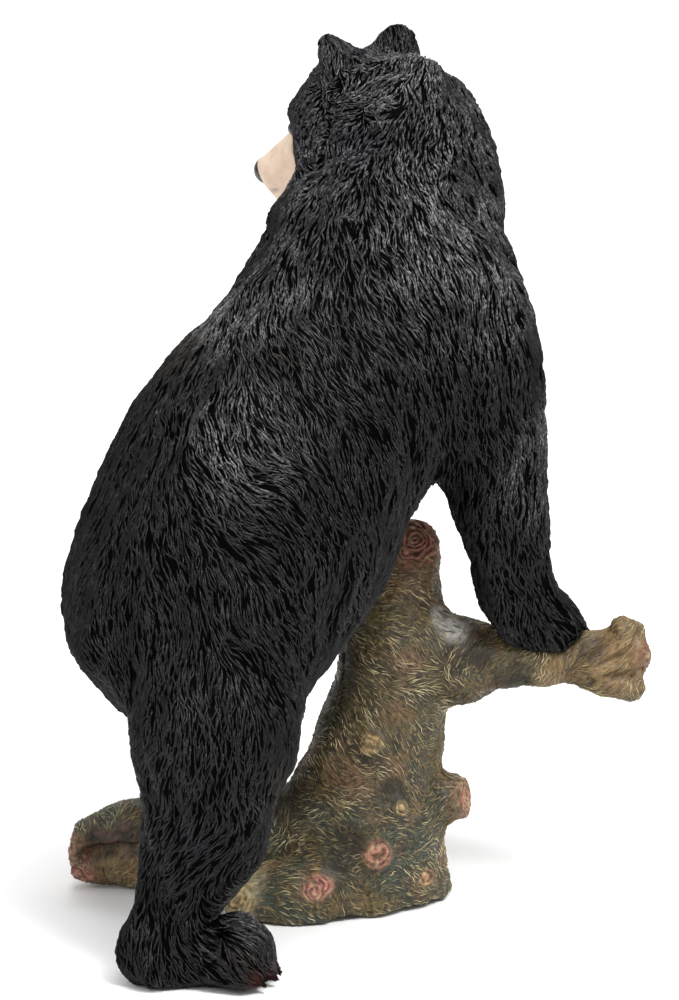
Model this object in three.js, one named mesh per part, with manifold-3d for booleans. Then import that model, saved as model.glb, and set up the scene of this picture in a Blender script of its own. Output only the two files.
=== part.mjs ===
// A cast figurine: a black bear that stands with its front paws on the branches of a tree stump
// and looks back over its left shoulder. Millimetres, +Z up. The bear faces -Y and its left side is +X.
// The bear and the stump are two castings. Each is sculpted as a blend of simple masses, meshed, thinned
// to a light mesh, and cut flat where it stands.
import * as THREE from "three";
import Module from "manifold-3d";

const wasm = await Module();
wasm.setup();

// Driving sizes
const GLUE_GAP = 0.4; // left between the two castings
const BEAR_TRIANGLES = 6500;
const STUMP_TRIANGLES = 3000;
const BEAR_GRID = 1.6; // mesh step before thinning
const STUMP_GRID = 1.6;
const FLOOR_DEPTH = 12; // how far the masses reach below the floor before the flat cut
const BASE_CENTRE = [8.92, 10.62]; // middle of the footprint, which becomes the origin

const COAT_COLOUR = 0x1c1b1e;
const BARK_COLOUR = 0x6b5d3f;

// Forms. A form is a function of x, y, z that gives the distance to a surface, negative inside.

function ball([cx, cy, cz], [rx, ry, rz]) {
  return (x, y, z) => {
    const px = (x - cx) / rx, py = (y - cy) / ry, pz = (z - cz) / rz;
    const scaled = Math.hypot(px, py, pz);
    const slope = Math.hypot(px / rx, py / ry, pz / rz);
    return slope < 1e-9 ? -Math.min(rx, ry, rz) : (scaled * (scaled - 1)) / slope;
  };
}

function limb([ax, ay, az], [bx, by, bz], startRadius, endRadius) {
  const dx = bx - ax, dy = by - ay, dz = bz - az;
  const lengthSquared = dx * dx + dy * dy + dz * dz;
  return (x, y, z) => {
    const px = x - ax, py = y - ay, pz = z - az;
    const t = Math.min(1, Math.max(0, (px * dx + py * dy + pz * dz) / lengthSquared));
    const away = Math.hypot(px - dx * t, py - dy * t, pz - dz * t);
    return away - startRadius - (endRadius - startRadius) * t;
  };
}

// A row of limbs through named places, each given as [x, y, z, radius].
function chain(softness, ...places) {
  const links = [];
  for (let i = 1; i < places.length; i++) {
    const from = places[i - 1], to = places[i];
    links.push(limb(from.slice(0, 3), to.slice(0, 3), from[3], to[3]));
  }
  return blend(softness, ...links);
}

function smoothLower(a, b, softness) {
  const h = Math.max(softness - Math.abs(a - b), 0) / softness;
  return Math.min(a, b) - (h * h * softness) / 4;
}

function blend(softness, ...forms) {
  return (x, y, z) => {
    let d = forms[0](x, y, z);
    for (let i = 1; i < forms.length; i++) d = smoothLower(d, forms[i](x, y, z), softness);
    return d;
  };
}

function carve(softness, form, ...cutters) {
  return (x, y, z) => {
    let d = form(x, y, z);
    for (const cutter of cutters) d = -smoothLower(-d, cutter(x, y, z), softness);
    return d;
  };
}

// Everything in front of a plane: carving it away leaves a sawn face.
function beyond([px, py, pz], normal) {
  const n = new THREE.Vector3(...normal).normalize();
  return (x, y, z) => -((x - px) * n.x + (y - py) * n.y + (z - pz) * n.z);
}

// A form drawn in its own frame (+X forward, +Y to its left, +Z up) and then turned and moved into place.
function placed(form, origin, forward, up = [0, 0, 1]) {
  const f = new THREE.Vector3(...forward).normalize();
  const left = new THREE.Vector3(...up).cross(f).normalize();
  const u = f.clone().cross(left);
  const [ox, oy, oz] = origin;
  return (x, y, z) => {
    const px = x - ox, py = y - oy, pz = z - oz;
    return form(
      px * f.x + py * f.y + pz * f.z,
      px * left.x + py * left.y + pz * left.z,
      px * u.x + py * u.y + pz * u.z,
    );
  };
}

// The bear's places: joints of the skeleton, in millimetres
const RUMP = [0, 54, 102];
const HAUNCH = [0, 43, 120];
const LOIN = [0, 27, 141];
const BELLY = [0, 27, 119];
const BACK = [0, 5, 163];
const CHEST = [0, -15, 177];
const WITHERS = [0, -14, 203];
const NECK_ROOT = [-1, -21, 196];
const NAPE = [6, -28.5, 227];
const TAIL = [0, 90, 98];
const SKULL = [19, -25, 235];
const GAZE = [0.952, 0.083, -0.292];
const RIGHT = {
  shoulder: [-24, -20, 184], upperArm: [-31, -25, 160], elbow: [-31.5, -33.5, 127],
  wrist: [-30.5, -42, 99], paw: [-31, -51, 87.5], reach: [-0.3, -1, -0.25],
  hip: [-20, 58, 97], thigh: [-25.5, 67.5, 74], shin: [-21.5, 68.5, 44], ankle: [-17.5, 75.5, 23],
  heel: [-15.5, 80.3, 0], toesOut: [-0.643, -0.766, 0],
};
const LEFT = {
  shoulder: [24, -25, 182], upperArm: [35, -27, 156], elbow: [43, -29, 130],
  wrist: [46, -35, 99], paw: [48, -42, 88], reach: [0.2, -1, -0.2],
  hip: [21.5, 46.5, 100], thigh: [31.5, 26, 78], shin: [35.5, 24.5, 55], ankle: [37, 28, 45],
  heel: [37.5, 32.5, 33], toesOut: [0.1, -1, -0.16],
};

const TOE_COUNT = 5;

const CLAW_RADII = [1.9, 0.9];

// Toes fan out in front of a paw, each with a claw; the middle ones reach furthest.
function toes(reach, spread, radius, height) {
  const made = [];
  for (let i = 0; i < TOE_COUNT; i++) {
    const side = (i - (TOE_COUNT - 1) / 2) / ((TOE_COUNT - 1) / 2);
    const tip = reach - 4 * side * side;
    const y = side * spread;
    const clawTip = [tip + radius + 4, y, height - 3];
    made.push(
      limb([tip - 9, y * 0.7, height + 2], [tip, y, height], radius, radius),
      limb([tip + radius - 1, y, height], clawTip, ...CLAW_RADII));
  }
  return made;
}

// A hind foot: its origin is on the ground below the heel.
function hindFoot() {
  const heel = blend(6, ball([0, 0, 10.5], [12, 12, 12]), limb([0, 0, 9], [18, 0, 7], 11, 9));
  const forefoot = ball([23, 0, 9.3], [10.5, 14, 10.5]);
  return blend(2.4, heel, forefoot, ...toes(27.5, 11.5, 4.2, 4.8));
}

// A front paw, bent over whatever it rests on: its origin is the middle of the palm.
function frontPaw() {
  const palm = blend(5, ball([0, 0, 0], [12, 11.5, 9.5]), ball([7, 0, -2], [9, 11, 7]));
  return blend(2, palm, ...toes(17, 9.5, 3.8, -4.5));
}

function arm(side) {
  return chain(7,
    [...side.shoulder, 25.5], [...side.upperArm, 19], [...side.elbow, 13.2],
    [...side.wrist, 9.8], [...side.paw, 8.5]);
}

function leg(side) {
  return chain(6,
    [...side.hip, 23.5], [...side.thigh, 23], [...side.shin, 16.5], [...side.ankle, 12]);
}

function head() {
  const cheeks = [-1, 1].map((s) => ball([3, s * 10, -8], [14, 11, 12]));
  const brows = [-1, 1].map((s) => ball([15, s * 7.5, 6], [6, 5.5, 4]));
  const skull = blend(6, ball([0, 0, 0.5], [21, 20, 20]), ...cheeks, ...brows);
  const muzzle = blend(4,
    limb([15, 0, -6], [37, 0, -9.5], 11.5, 8),
    limb([12, 0, -17], [34, 0, -19.5], 9, 6));
  const nose = ball([43.8, 0, -7], [3.8, 5, 4]);
  const ears = [-1, 1].map((s) => {
    const shell = ball([0, 0, 0], [5, 8.7, 11]);
    const hollow = ball([5, 0, 1.5], [4.6, 6.4, 8]);
    return placed(carve(1.2, shell, hollow), [-6, s * 12.6 - 1.2, 15.5], [1, s * 0.35, 0], [0, s * 0.3, 1]);
  });
  const sockets = [-1, 1].map((s) => ball([19.5, s * 10.5, 1], [4, 3.6, 3.2]));
  const eyes = [-1, 1].map((s) => ball([17.2, s * 9.6, 1], [3, 3, 3]));
  const face = carve(2, blend(5, skull, muzzle), ...sockets);
  return blend(1.2, blend(5, face, ...ears), nose, ...eyes);
}

const COAT_EDGE = 5; // the coat comes to its full height this far from bare skin

// How bare a place is: 1 on the muzzle, the eyes, the toes and the soles, and 0 where the coat is full.
function bareSkin() {
  const snout = blend(4, limb([19, 0, -8], [44, 0, -11], 13, 9), limb([17, 0, 1], [24, 0, 1], 14, 10));
  const muzzle = placed(snout, SKULL, GAZE);
  const feet = [RIGHT, LEFT].flatMap((side) => [
    placed(limb([32, -10, 4], [32, 10, 4], 9, 9), side.heel, side.toesOut),
    placed(limb([20, -9, -4], [20, 9, -4], 9, 9), side.paw, side.reach),
  ]);
  const skin = blend(1, muzzle, ...feet);
  return (x, y, z) => {
    const away = Math.min(skin(x, y, z), z);
    return Math.min(1, Math.max(0, 1 - away / COAT_EDGE));
  };
}

// The small forms of the bear, which keep more of the triangles: its head and its toes.
function bearCare() {
  return blend(1, placed(head(), SKULL, GAZE),
    ...[RIGHT, LEFT].flatMap((side) => [
      placed(limb([32, -10, 5], [32, 10, 5], 7, 7), side.heel, side.toesOut),
      placed(limb([20, -9, -5], [20, 9, -5], 6, 6), side.paw, side.reach),
    ]));
}

function bearForm() {
  const trunk = blend(16,
    ball(RUMP, [40, 36, 37]),
    ball(HAUNCH, [41, 38, 39]),
    ball(LOIN, [42.5, 40.5, 42]),
    ball(BELLY, [32, 30, 28]),
    ball(BACK, [39.5, 37.5, 38.5]),
    ball(CHEST, [37.5, 36.5, 40]),
    ball(WITHERS, [30, 27, 26]));
  const neck = limb(NECK_ROOT, NAPE, 32, 26.5);
  const front = blend(6, trunk, neck, arm(RIGHT), arm(LEFT));
  const body = blend(6, front, leg(RIGHT), leg(LEFT));
  const withHead = blend(4, body, placed(head(), SKULL, GAZE));
  return blend(4, withHead,
    placed(hindFoot(), RIGHT.heel, RIGHT.toesOut),
    placed(hindFoot(), LEFT.heel, LEFT.toesOut),
    placed(frontPaw(), RIGHT.paw, RIGHT.reach),
    placed(frontPaw(), LEFT.paw, LEFT.reach),
    ball(TAIL, [6, 6, 9]));
}

// The stump's places, as [x, y, z, radius]
const TRUNK = [
  [13, -15, -6, 29], [11, -18, 22, 24], [7.3, -22.3, 50, 18.2], [4, -25, 76, 15], [1, -29, 108, 8.8],
];
const STUB_FACE = [-2, -28, 112];
const STUB_NORMAL = [-0.61, 0.51, 0.6];
const RIGHT_BRANCH = [[3, -26, 74, 14], [-13, -38, 75, 11], [-24, -46, 75.5, 7.4], [-33, -53, 75, 6.2]];
const RIGHT_BRANCH_LOBES = [
  [[-33, -53, 74.5, 7], [-44, -62, 78, 7.5], [-52.5, -68.5, 84.5, 5]],
  [[-33, -53, 74.5, 7], [-44, -62, 76, 8], [-52, -69, 78, 6.8]],
  [[-33, -53, 74.5, 7], [-44, -61, 74, 7.5], [-51, -68, 69.5, 5.6]],
];
const LEFT_BRANCH = [
  [4, -26, 72, 13], [22, -32, 74, 10], [36, -37, 75, 7.5], [50, -42, 75.5, 6.8], [66, -47, 78, 8.5],
];
const LEFT_BRANCH_END = [64, -46, 78];
const LEFT_BRANCH_FACING = [0.9, -0.35, 0.25];
const LEFT_ROOT_UPPER = [[16, -8, 16, 15], [42, 17, 24, 9.5], [58, 33, 18.5, 9], [70, 45, 12, 8.5]];
const LEFT_ROOT_LOWER = [[16, -8, 7, 14], [42, 15, 6, 11], [71, 45, 9.5, 7.8]];
const LEFT_ROOT_END = [71.76, 45.8, 10];
const LEFT_ROOT_FACING = [0.75, 0.66, 0.1];
const BACK_ROOT = [[9, -6, 6, 15], [5, 10, 3, 11], [6, 15, 0, 8]];
const SIDE_ROOT = [[10, -6, 6, 14], [12, 12, 5, 9], [14, 23, 4, 8]];
const FRONT_ROOT = [[7, -18, 8, 17], [1, -30, 1, 11]];
const FAR_ROOT = [[14, -18, 8, 17], [32, -38, 1, 11]];

// Knots: sawn or broken twigs, each with its face, the way that it faces, and its radius
const KNOTS = [
  { face: [-7, -6, 52], facing: [-0.7, 0.7, 0.2], radius: 3.4 },
  { face: [0, 10, 10], facing: [-0.4, 0.9, 0.15], radius: 4.6 },
  { face: [-11, -5, 19], facing: [-0.75, 0.6, 0.25], radius: 5 },
  { face: [-14, -13, 32], facing: [-0.8, 0.5, 0.3], radius: 2.8 },
  { face: [-15, -22, 10], facing: [-0.9, 0.3, 0.25], radius: 4 },
  { face: [9, 21, 7], facing: [-0.2, 0.95, 0.2], radius: 5 },
  { face: [-12, -40, 31], facing: [-0.75, -0.5, 0.1], radius: 6.5 },
  { face: [27, -26, 40], facing: [0.9, -0.2, 0.3], radius: 5 },
  { face: [14, -44, 20], facing: [0.1, -1, 0.2], radius: 4.5 },
];
const KNOT_DEPTH = 14;

function knot({ face, facing, radius }) {
  const out = new THREE.Vector3(...facing).normalize();
  const root = new THREE.Vector3(...face).addScaledVector(out, -KNOT_DEPTH).toArray();
  const twig = limb(root, face, radius * 1.5, radius);
  return carve(0.8, twig, beyond(face, facing));
}

function stumpForm() {
  const wood = blend(8,
    chain(6, ...TRUNK), chain(6, ...RIGHT_BRANCH),
    chain(6, ...BACK_ROOT), chain(6, ...SIDE_ROOT), chain(6, ...FRONT_ROOT), chain(6, ...FAR_ROOT));
  const leftRoot = carve(1.5,
    blend(2, chain(6, ...LEFT_ROOT_UPPER), chain(6, ...LEFT_ROOT_LOWER)),
    beyond(LEFT_ROOT_END, LEFT_ROOT_FACING));
  const lobes = blend(1.5, ...RIGHT_BRANCH_LOBES.map((places) => chain(4, ...places)));
  const leftEnd = carve(1, chain(5, ...LEFT_BRANCH), beyond(LEFT_BRANCH_END, LEFT_BRANCH_FACING));
  const whole = blend(3, blend(6, wood, leftRoot, leftEnd), lobes, ...KNOTS.map(knot));
  return carve(1.2, whole, beyond(STUB_FACE, STUB_NORMAL));
}

function stumpCare() {
  return blend(1, ...KNOTS.map(knot));
}

// Meshing. Each grid cell is split in six tetrahedra, and the surface is drawn through each.

const TETRAHEDRA = [[0, 1, 3, 7], [0, 3, 2, 7], [0, 2, 6, 7], [0, 6, 4, 7], [0, 4, 5, 7], [0, 5, 1, 7]];
const TINY = 1e-6;
const LEAST_CUT = 0.03; // a crossing keeps this share of an edge clear of its ends

// The form's value at each grid point. Blocks that lie well clear of the surface are filled at once.
const BLOCK = 4;

function sampled(form, low, [nx, ny, nz], step) {
  const value = new Float64Array(nx * ny * nz);
  const reach = BLOCK * step * 1.5;
  const middle = ((BLOCK - 1) / 2) * step;
  for (let z = 0; z < nz; z += BLOCK)
    for (let y = 0; y < ny; y += BLOCK)
      for (let x = 0; x < nx; x += BLOCK) {
        const [px, py, pz] = [low[0] + x * step, low[1] + y * step, low[2] + z * step];
        const rough = form(px + middle, py + middle, pz + middle);
        for (let k = z; k < Math.min(z + BLOCK, nz); k++)
          for (let j = y; j < Math.min(y + BLOCK, ny); j++)
            for (let i = x; i < Math.min(x + BLOCK, nx); i++) {
              const exact = Math.abs(rough) > reach
                ? rough : form(low[0] + i * step, low[1] + j * step, low[2] + k * step);
              value[i + nx * (j + ny * k)] = exact || TINY;
            }
      }
  return value;
}

function meshed(form, low, high, step) {
  const size = low.map((v, i) => Math.ceil((high[i] - v) / step) + 1);
  const [nx, ny, nz] = size;
  const spot = (i) => [
    low[0] + (i % nx) * step,
    low[1] + (Math.floor(i / nx) % ny) * step,
    low[2] + Math.floor(i / (nx * ny)) * step,
  ];
  const value = sampled(form, low, size, step);

  const points = [], faces = [], made = new Map();
  const crossing = (a, b) => {
    const key = Math.min(a, b) * value.length + Math.max(a, b);
    if (!made.has(key)) {
      const share = value[a] / (value[a] - value[b]);
      const t = Math.min(1 - LEAST_CUT, Math.max(LEAST_CUT, share));
      const from = spot(a), to = spot(b);
      made.set(key, points.length / 3);
      points.push(...from.map((v, k) => v + (to[k] - v) * t));
    }
    return made.get(key);
  };
  const addFace = (a, b, c, inside, outside) => {
    const p = [a, b, c].map((i) => new THREE.Vector3().fromArray(points, 3 * i));
    const normal = p[1].clone().sub(p[0]).cross(p[2].clone().sub(p[0]));
    const out = new THREE.Vector3(...spot(outside)).sub(new THREE.Vector3(...spot(inside)));
    if (normal.dot(out) > 0) faces.push(a, b, c);
    else faces.push(a, c, b);
  };
  const corners = [0, 1, 2, 3, 4, 5, 6, 7].map((c) => (c & 1) + ((c >> 1) & 1) * nx + (c >> 2) * nx * ny);
  for (let z = 0; z < nz - 1; z++)
    for (let y = 0; y < ny - 1; y++)
      for (let x = 0; x < nx - 1; x++) {
        const base = x + nx * (y + ny * z);
        const insideCount = corners.filter((c) => value[base + c] < 0).length;
        if (insideCount === 0 || insideCount === 8) continue;
        for (const tetrahedron of TETRAHEDRA) {
          const ends = tetrahedron.map((c) => base + corners[c]);
          const inside = ends.filter((i) => value[i] < 0), outside = ends.filter((i) => value[i] >= 0);
          if (inside.length === 1) {
            addFace(...outside.map((o) => crossing(inside[0], o)), inside[0], outside[0]);
          } else if (inside.length === 3) {
            addFace(...inside.map((i) => crossing(i, outside[0])), inside[0], outside[0]);
          } else if (inside.length === 2) {
            const [a, b] = outside.map((o) => crossing(inside[0], o));
            const [d, c] = outside.map((o) => crossing(inside[1], o));
            addFace(a, b, c, inside[0], outside[0]);
            addFace(a, c, d, inside[0], outside[0]);
          }
        }
      }
  return { points, faces };
}

// Thinning: edges are collapsed in order of the error that each would make, so flat places lose most.

const STEEPEST_TURN = 0.25; // a collapse may not turn a face further than this cosine

function planeError(quadric, o, x, y, z) {
  const q = quadric;
  return q[o] * x * x + 2 * q[o + 1] * x * y + 2 * q[o + 2] * x * z + 2 * q[o + 3] * x
    + q[o + 4] * y * y + 2 * q[o + 5] * y * z + 2 * q[o + 6] * y
    + q[o + 7] * z * z + 2 * q[o + 8] * z + q[o + 9];
}

class Heap {
  constructor() { this.items = []; }

  push(item) {
    const a = this.items;
    let i = a.push(item) - 1;
    while (i > 0) {
      const parent = (i - 1) >> 1;
      if (a[parent].cost <= a[i].cost) break;
      [a[parent], a[i]] = [a[i], a[parent]];
      i = parent;
    }
  }

  pop() {
    const a = this.items, top = a[0], last = a.pop();
    if (a.length) {
      a[0] = last;
      for (let i = 0; ;) {
        let child = 2 * i + 1;
        if (child >= a.length) break;
        if (child + 1 < a.length && a[child + 1].cost < a[child].cost) child++;
        if (a[i].cost <= a[child].cost) break;
        [a[child], a[i]] = [a[i], a[child]];
        i = child;
      }
    }
    return top;
  }
}

function thinned({ points, faces }, target, importance) {
  const p = Float64Array.from(points), f = Int32Array.from(faces);
  const count = p.length / 3, quadric = new Float64Array(count * 10), age = new Int32Array(count);
  const around = Array.from({ length: count }, () => new Set());
  const alive = new Uint8Array(f.length / 3).fill(1);
  const vector = (i) => new THREE.Vector3(p[3 * i], p[3 * i + 1], p[3 * i + 2]);
  const faceNormal = (a, b, c) => b.clone().sub(a).cross(c.clone().sub(a));

  for (let t = 0; t < alive.length; t++) {
    const ends = [f[3 * t], f[3 * t + 1], f[3 * t + 2]];
    const [a, b, c] = ends.map(vector);
    const n = faceNormal(a, b, c), area = n.length() / 2;
    n.normalize();
    const d = -n.dot(a);
    const plane = [n.x, n.y, n.z, d];
    const terms = plane.flatMap((p1, row) => plane.slice(row).map((p2) => p1 * p2));
    const share = area * importance(a.x, a.y, a.z);
    for (const v of ends) {
      around[v].add(t);
      terms.forEach((term, k) => { quadric[10 * v + k] += term * share; });
    }
  }

  const neighbours = (v) => {
    const found = new Set();
    for (const t of around[v]) for (let k = 0; k < 3; k++) if (f[3 * t + k] !== v) found.add(f[3 * t + k]);
    return found;
  };
  const heap = new Heap();
  const joint = new Float64Array(10);
  const consider = (a, b) => {
    for (let k = 0; k < 10; k++) joint[k] = quadric[10 * a + k] + quadric[10 * b + k];
    const va = vector(a), vb = vector(b), middle = va.clone().add(vb).multiplyScalar(0.5);
    const options = [va, vb, middle];
    const best = new THREE.Matrix3().set(
      joint[0], joint[1], joint[2], joint[1], joint[4], joint[5], joint[2], joint[5], joint[7]);
    if (Math.abs(best.determinant()) > TINY) {
      const exact = new THREE.Vector3(-joint[3], -joint[6], -joint[8]).applyMatrix3(best.invert());
      if (exact.distanceTo(middle) < 2 * va.distanceTo(vb)) options.push(exact);
    }
    let cost = Infinity, at = middle;
    for (const o of options) {
      const e = planeError(joint, 0, o.x, o.y, o.z);
      if (e < cost) { cost = e; at = o; }
    }
    cost = Math.max(cost, 0) + TINY * va.distanceToSquared(vb);
    heap.push({ cost, a, b, at, ages: age[a] + age[b] });
  };
  for (let v = 0; v < count; v++) for (const w of neighbours(v)) if (w > v) consider(v, w);

  const turnsOver = (v, other, at) => {
    for (const t of around[v]) {
      const ends = [f[3 * t], f[3 * t + 1], f[3 * t + 2]];
      if (ends.includes(other)) continue;
      const before = ends.map(vector), after = ends.map((e, k) => (e === v ? at : before[k]));
      const n0 = faceNormal(...before).normalize(), n1 = faceNormal(...after);
      if (n1.length() < TINY || n0.dot(n1.normalize()) < STEEPEST_TURN) return true;
    }
    return false;
  };

  let left = alive.length;
  while (left > target && heap.items.length) {
    const { a, b, at, ages } = heap.pop();
    if (age[a] + age[b] !== ages || !around[a].size || !around[b].size) continue;
    const nearA = neighbours(a), shared = [...neighbours(b)].filter((w) => nearA.has(w));
    if (!nearA.has(b) || shared.length !== 2 || turnsOver(a, b, at) || turnsOver(b, a, at)) continue;
    for (const t of [...around[b]]) {
      const ends = [f[3 * t], f[3 * t + 1], f[3 * t + 2]];
      if (ends.includes(a)) {
        for (const v of ends) around[v].delete(t);
        alive[t] = 0;
        left--;
      } else {
        f[3 * t + ends.indexOf(b)] = a;
        around[a].add(t);
      }
    }
    around[b].clear();
    at.toArray(p, 3 * a);
    for (let k = 0; k < 10; k++) quadric[10 * a + k] += quadric[10 * b + k];
    age[a] += age[b] + 1;
    for (const w of neighbours(a)) consider(a, w);
  }

  const renamed = new Map(), keptPoints = [], keptFaces = [];
  for (let t = 0; t < alive.length; t++) {
    if (!alive[t]) continue;
    for (let k = 0; k < 3; k++) {
      const v = f[3 * t + k];
      if (!renamed.has(v)) {
        renamed.set(v, keptPoints.length / 3);
        keptPoints.push(p[3 * v], p[3 * v + 1], p[3 * v + 2]);
      }
      keptFaces.push(renamed.get(v));
    }
  }
  return { points: keptPoints, faces: keptFaces };
}

// The lie of the coat: at each place the locks run this way, and the places around it share the rest.
const COAT_FLOW = [
  { at: [30, -25, 262], along: [-1, 0.2, -0.3] },
  { at: [10, -14, 250], along: [-0.7, 0.7, -0.6] },
  { at: [25, 2, 228], along: [-0.2, 0.4, -1] },
  { at: [25, -48, 228], along: [-0.2, -0.4, -1] },
  { at: [-14, -30, 235], along: [-0.3, 0.1, -1] },
  { at: [0, 15, 210], along: [0, 0.6, -1] },
  { at: [0, 48, 160], along: [0, 0.55, -1] },
  { at: [0, 88, 115], along: [0, 0.3, -1] },
  { at: [-38, -15, 190], along: [-0.1, -0.1, -1] },
  { at: [38, -15, 190], along: [0.1, -0.1, -1] },
  { at: [-40, 20, 140], along: [0, 0.35, -1] },
  { at: [40, 20, 140], along: [0, 0.35, -1] },
  { at: [-40, 55, 105], along: [0, -0.45, -1] },
  { at: [40, 45, 105], along: [0, -0.7, -1] },
  { at: [0, -55, 165], along: [0, 0.1, -1] },
  { at: [0, -10, 110], along: [0, 0.3, -1] },
  { at: [-28, 83, 55], along: [0, -0.25, -1] },
  { at: [-28, 83, 18], along: [-0.5, -0.6, -0.7] },
  { at: [-45, 68, 12], along: [-0.64, -0.77, -0.15] },
  { at: [40, 15, 60], along: [0.1, -0.5, -1] },
  { at: [42, 15, 42], along: [0.1, -1, -0.3] },
  { at: [-31, -33, 120], along: [0, -0.3, -1] },
  { at: [-33, -60, 90], along: [-0.3, -1, -0.5] },
  { at: [43, -30, 125], along: [0, -0.2, -1] },
  { at: [50, -52, 90], along: [0.2, -1, -0.5] },
];

function flowAt(point) {
  const flow = new THREE.Vector3();
  for (const { at, along } of COAT_FLOW) {
    const apart = point.distanceToSquared(new THREE.Vector3(...at)) + 1;
    flow.addScaledVector(new THREE.Vector3(...along).normalize(), 1 / (apart * apart));
  }
  return flow.normalize();
}

const COAT = { length: 34, width: 11, height: 1.9, spacing: 10.5 };
const SEED = 7;
const SWELL_END = 0.6; // share of a lock's length over which it rises to its full height
const ROUND_TIP = 2.5; // how bluntly a lock ends
const SAME_SIDE = 0.2; // a lock only reaches places that face nearly the way its root does

// Raised locks that overlap like shingles: each starts flat, swells, and ends in a tip.
function withLocks({ points, faces }, { length, width, height, spacing }, bareness) {
  const normals = normalsOf(points, faces);
  const count = points.length / 3;
  const place = Array.from({ length: count }, (_, i) => new THREE.Vector3().fromArray(points, 3 * i));
  const normal = Array.from({ length: count }, (_, i) => new THREE.Vector3().fromArray(normals, 3 * i));
  const cellOf = (v) => v.toArray().map((c) => Math.floor(c / length));
  const cells = new Map();
  place.forEach((v, i) => {
    const key = cellOf(v).join();
    if (!cells.has(key)) cells.set(key, []);
    cells.get(key).push(i);
  });
  const near = (v) => {
    const [cx, cy, cz] = cellOf(v);
    const found = [];
    for (const dx of [-1, 0, 1])
      for (const dy of [-1, 0, 1])
        for (const dz of [-1, 0, 1]) found.push(...(cells.get([cx + dx, cy + dy, cz + dz].join()) ?? []));
    return found;
  };

  const random = randomRow(SEED);
  const order = place.map((_, i) => [random(), i]).sort((a, b) => a[0] - b[0]);
  const taken = new Uint8Array(count);
  const raised = new Float64Array(count);
  for (const [, root] of order) {
    if (taken[root]) continue;
    const along = flowAt(place[root]).projectOnPlane(normal[root]).normalize();
    const across = normal[root].clone().cross(along);
    const bend = (random() - 0.5) * width;
    const size = 0.75 + 0.5 * random();
    for (const i of near(place[root])) {
      const away = place[i].clone().sub(place[root]);
      if (away.length() < spacing) taken[i] = 1;
      const s = away.dot(along) / length;
      if (s <= 0 || s >= 1 || normal[root].dot(normal[i]) < SAME_SIDE) continue;
      const half = 0.5 * width * size * Math.sqrt(1 - s ** ROUND_TIP);
      const t = (away.dot(across) - bend * s * s) / half;
      if (Math.abs(t) < 1) raised[i] = Math.max(raised[i], Math.min(1, s / SWELL_END) * size * (1 - t * t));
    }
  }
  const moved = place.flatMap((v, i) => {
    const lift = height * (raised[i] - 0.5) * (1 - bareness(v.x, v.y, v.z));
    return v.clone().addScaledVector(normal[i], lift).toArray();
  });
  return { points: moved, faces };
}

// Even numbers between 0 and 1 that come in the same order every time.
function randomRow(seed) {
  let state = seed;
  return () => {
    state = (state * 48271) % 2147483647;
    return state / 2147483647;
  };
}

function normalsOf(points, faces) {
  const geometry = new THREE.BufferGeometry();
  geometry.setAttribute("position", new THREE.Float32BufferAttribute(points, 3));
  geometry.setIndex(faces);
  geometry.computeVertexNormals();
  return geometry.getAttribute("normal").array;
}

// The same mesh with every point moved out along its normal.
function grown({ points, faces }, distance) {
  const normals = normalsOf(points, faces);
  return { points: points.map((v, i) => v + normals[i] * distance), faces };
}

// Small forms keep more of the triangles: a place within reach of one counts for more when thinning.
const CARE = 5;
const CARE_REACH = 5;

function careFor(form) {
  return (x, y, z) => (form(x, y, z) < CARE_REACH ? CARE : 1);
}

// Solids: joining and cutting

function solid({ points, faces }) {
  return new wasm.Manifold(new wasm.Mesh({
    numProp: 3, vertProperties: Float32Array.from(points), triVerts: Uint32Array.from(faces),
  }));
}

function boxSolid(width, depth, height, [x, y, z]) {
  const box = new THREE.BoxGeometry(width, depth, height).translate(x, y, z);
  const position = box.getAttribute("position");
  const names = new Map(), points = [], faces = [];
  for (const i of box.index.array) {
    const at = [position.getX(i), position.getY(i), position.getZ(i)], key = at.join();
    if (!names.has(key)) {
      names.set(key, points.length / 3);
      points.push(...at);
    }
    faces.push(names.get(key));
  }
  return solid({ points, faces });
}

function geometryOf(manifold) {
  const mesh = manifold.getMesh();
  const geometry = new THREE.BufferGeometry();
  geometry.setAttribute("position", new THREE.BufferAttribute(mesh.vertProperties, 3));
  geometry.setIndex(new THREE.BufferAttribute(mesh.triVerts, 1));
  const faceted = geometry.toNonIndexed();
  faceted.computeVertexNormals();
  return faceted;
}

const BEAR_SPACE = [[-80, -90, -FLOOR_DEPTH], [85, 125, 275]];
const STUMP_SPACE = [[-80, -100, -45], [95, 65, 120]];
const FLOOR_BLOCK = [400, 400, 100];

const coat = withLocks(meshed(bearForm(), ...BEAR_SPACE, BEAR_GRID), COAT, bareSkin());
const bearMesh = thinned(coat, BEAR_TRIANGLES, careFor(bearCare()));
const wood = meshed(stumpForm(), ...STUMP_SPACE, STUMP_GRID);
const stumpMesh = thinned(wood, STUMP_TRIANGLES, careFor(stumpCare()));
const underFloor = boxSolid(...FLOOR_BLOCK, [0, 0, -FLOOR_BLOCK[2] / 2]);
const stumpSolid = solid(stumpMesh).subtract(underFloor);
const bearSolid = solid(bearMesh).subtract(underFloor).subtract(solid(grown(stumpMesh, GLUE_GAP)));

function casting(name, manifold, colour, roughness) {
  const material = new THREE.MeshStandardMaterial({ color: colour, roughness, metalness: 0 });
  const mesh = new THREE.Mesh(geometryOf(manifold), material);
  mesh.name = name;
  return mesh;
}

const figurine = new THREE.Group();
figurine.add(casting("bear", bearSolid, COAT_COLOUR, 0.55));
figurine.add(casting("stump", stumpSolid, BARK_COLOUR, 0.8));
figurine.position.set(-BASE_CENTRE[0], -BASE_CENTRE[1], 0);

export default figurine;
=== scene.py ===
"""A painted resin figurine: a black bear that leans on a tree stump and looks back over its shoulder."""

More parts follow.
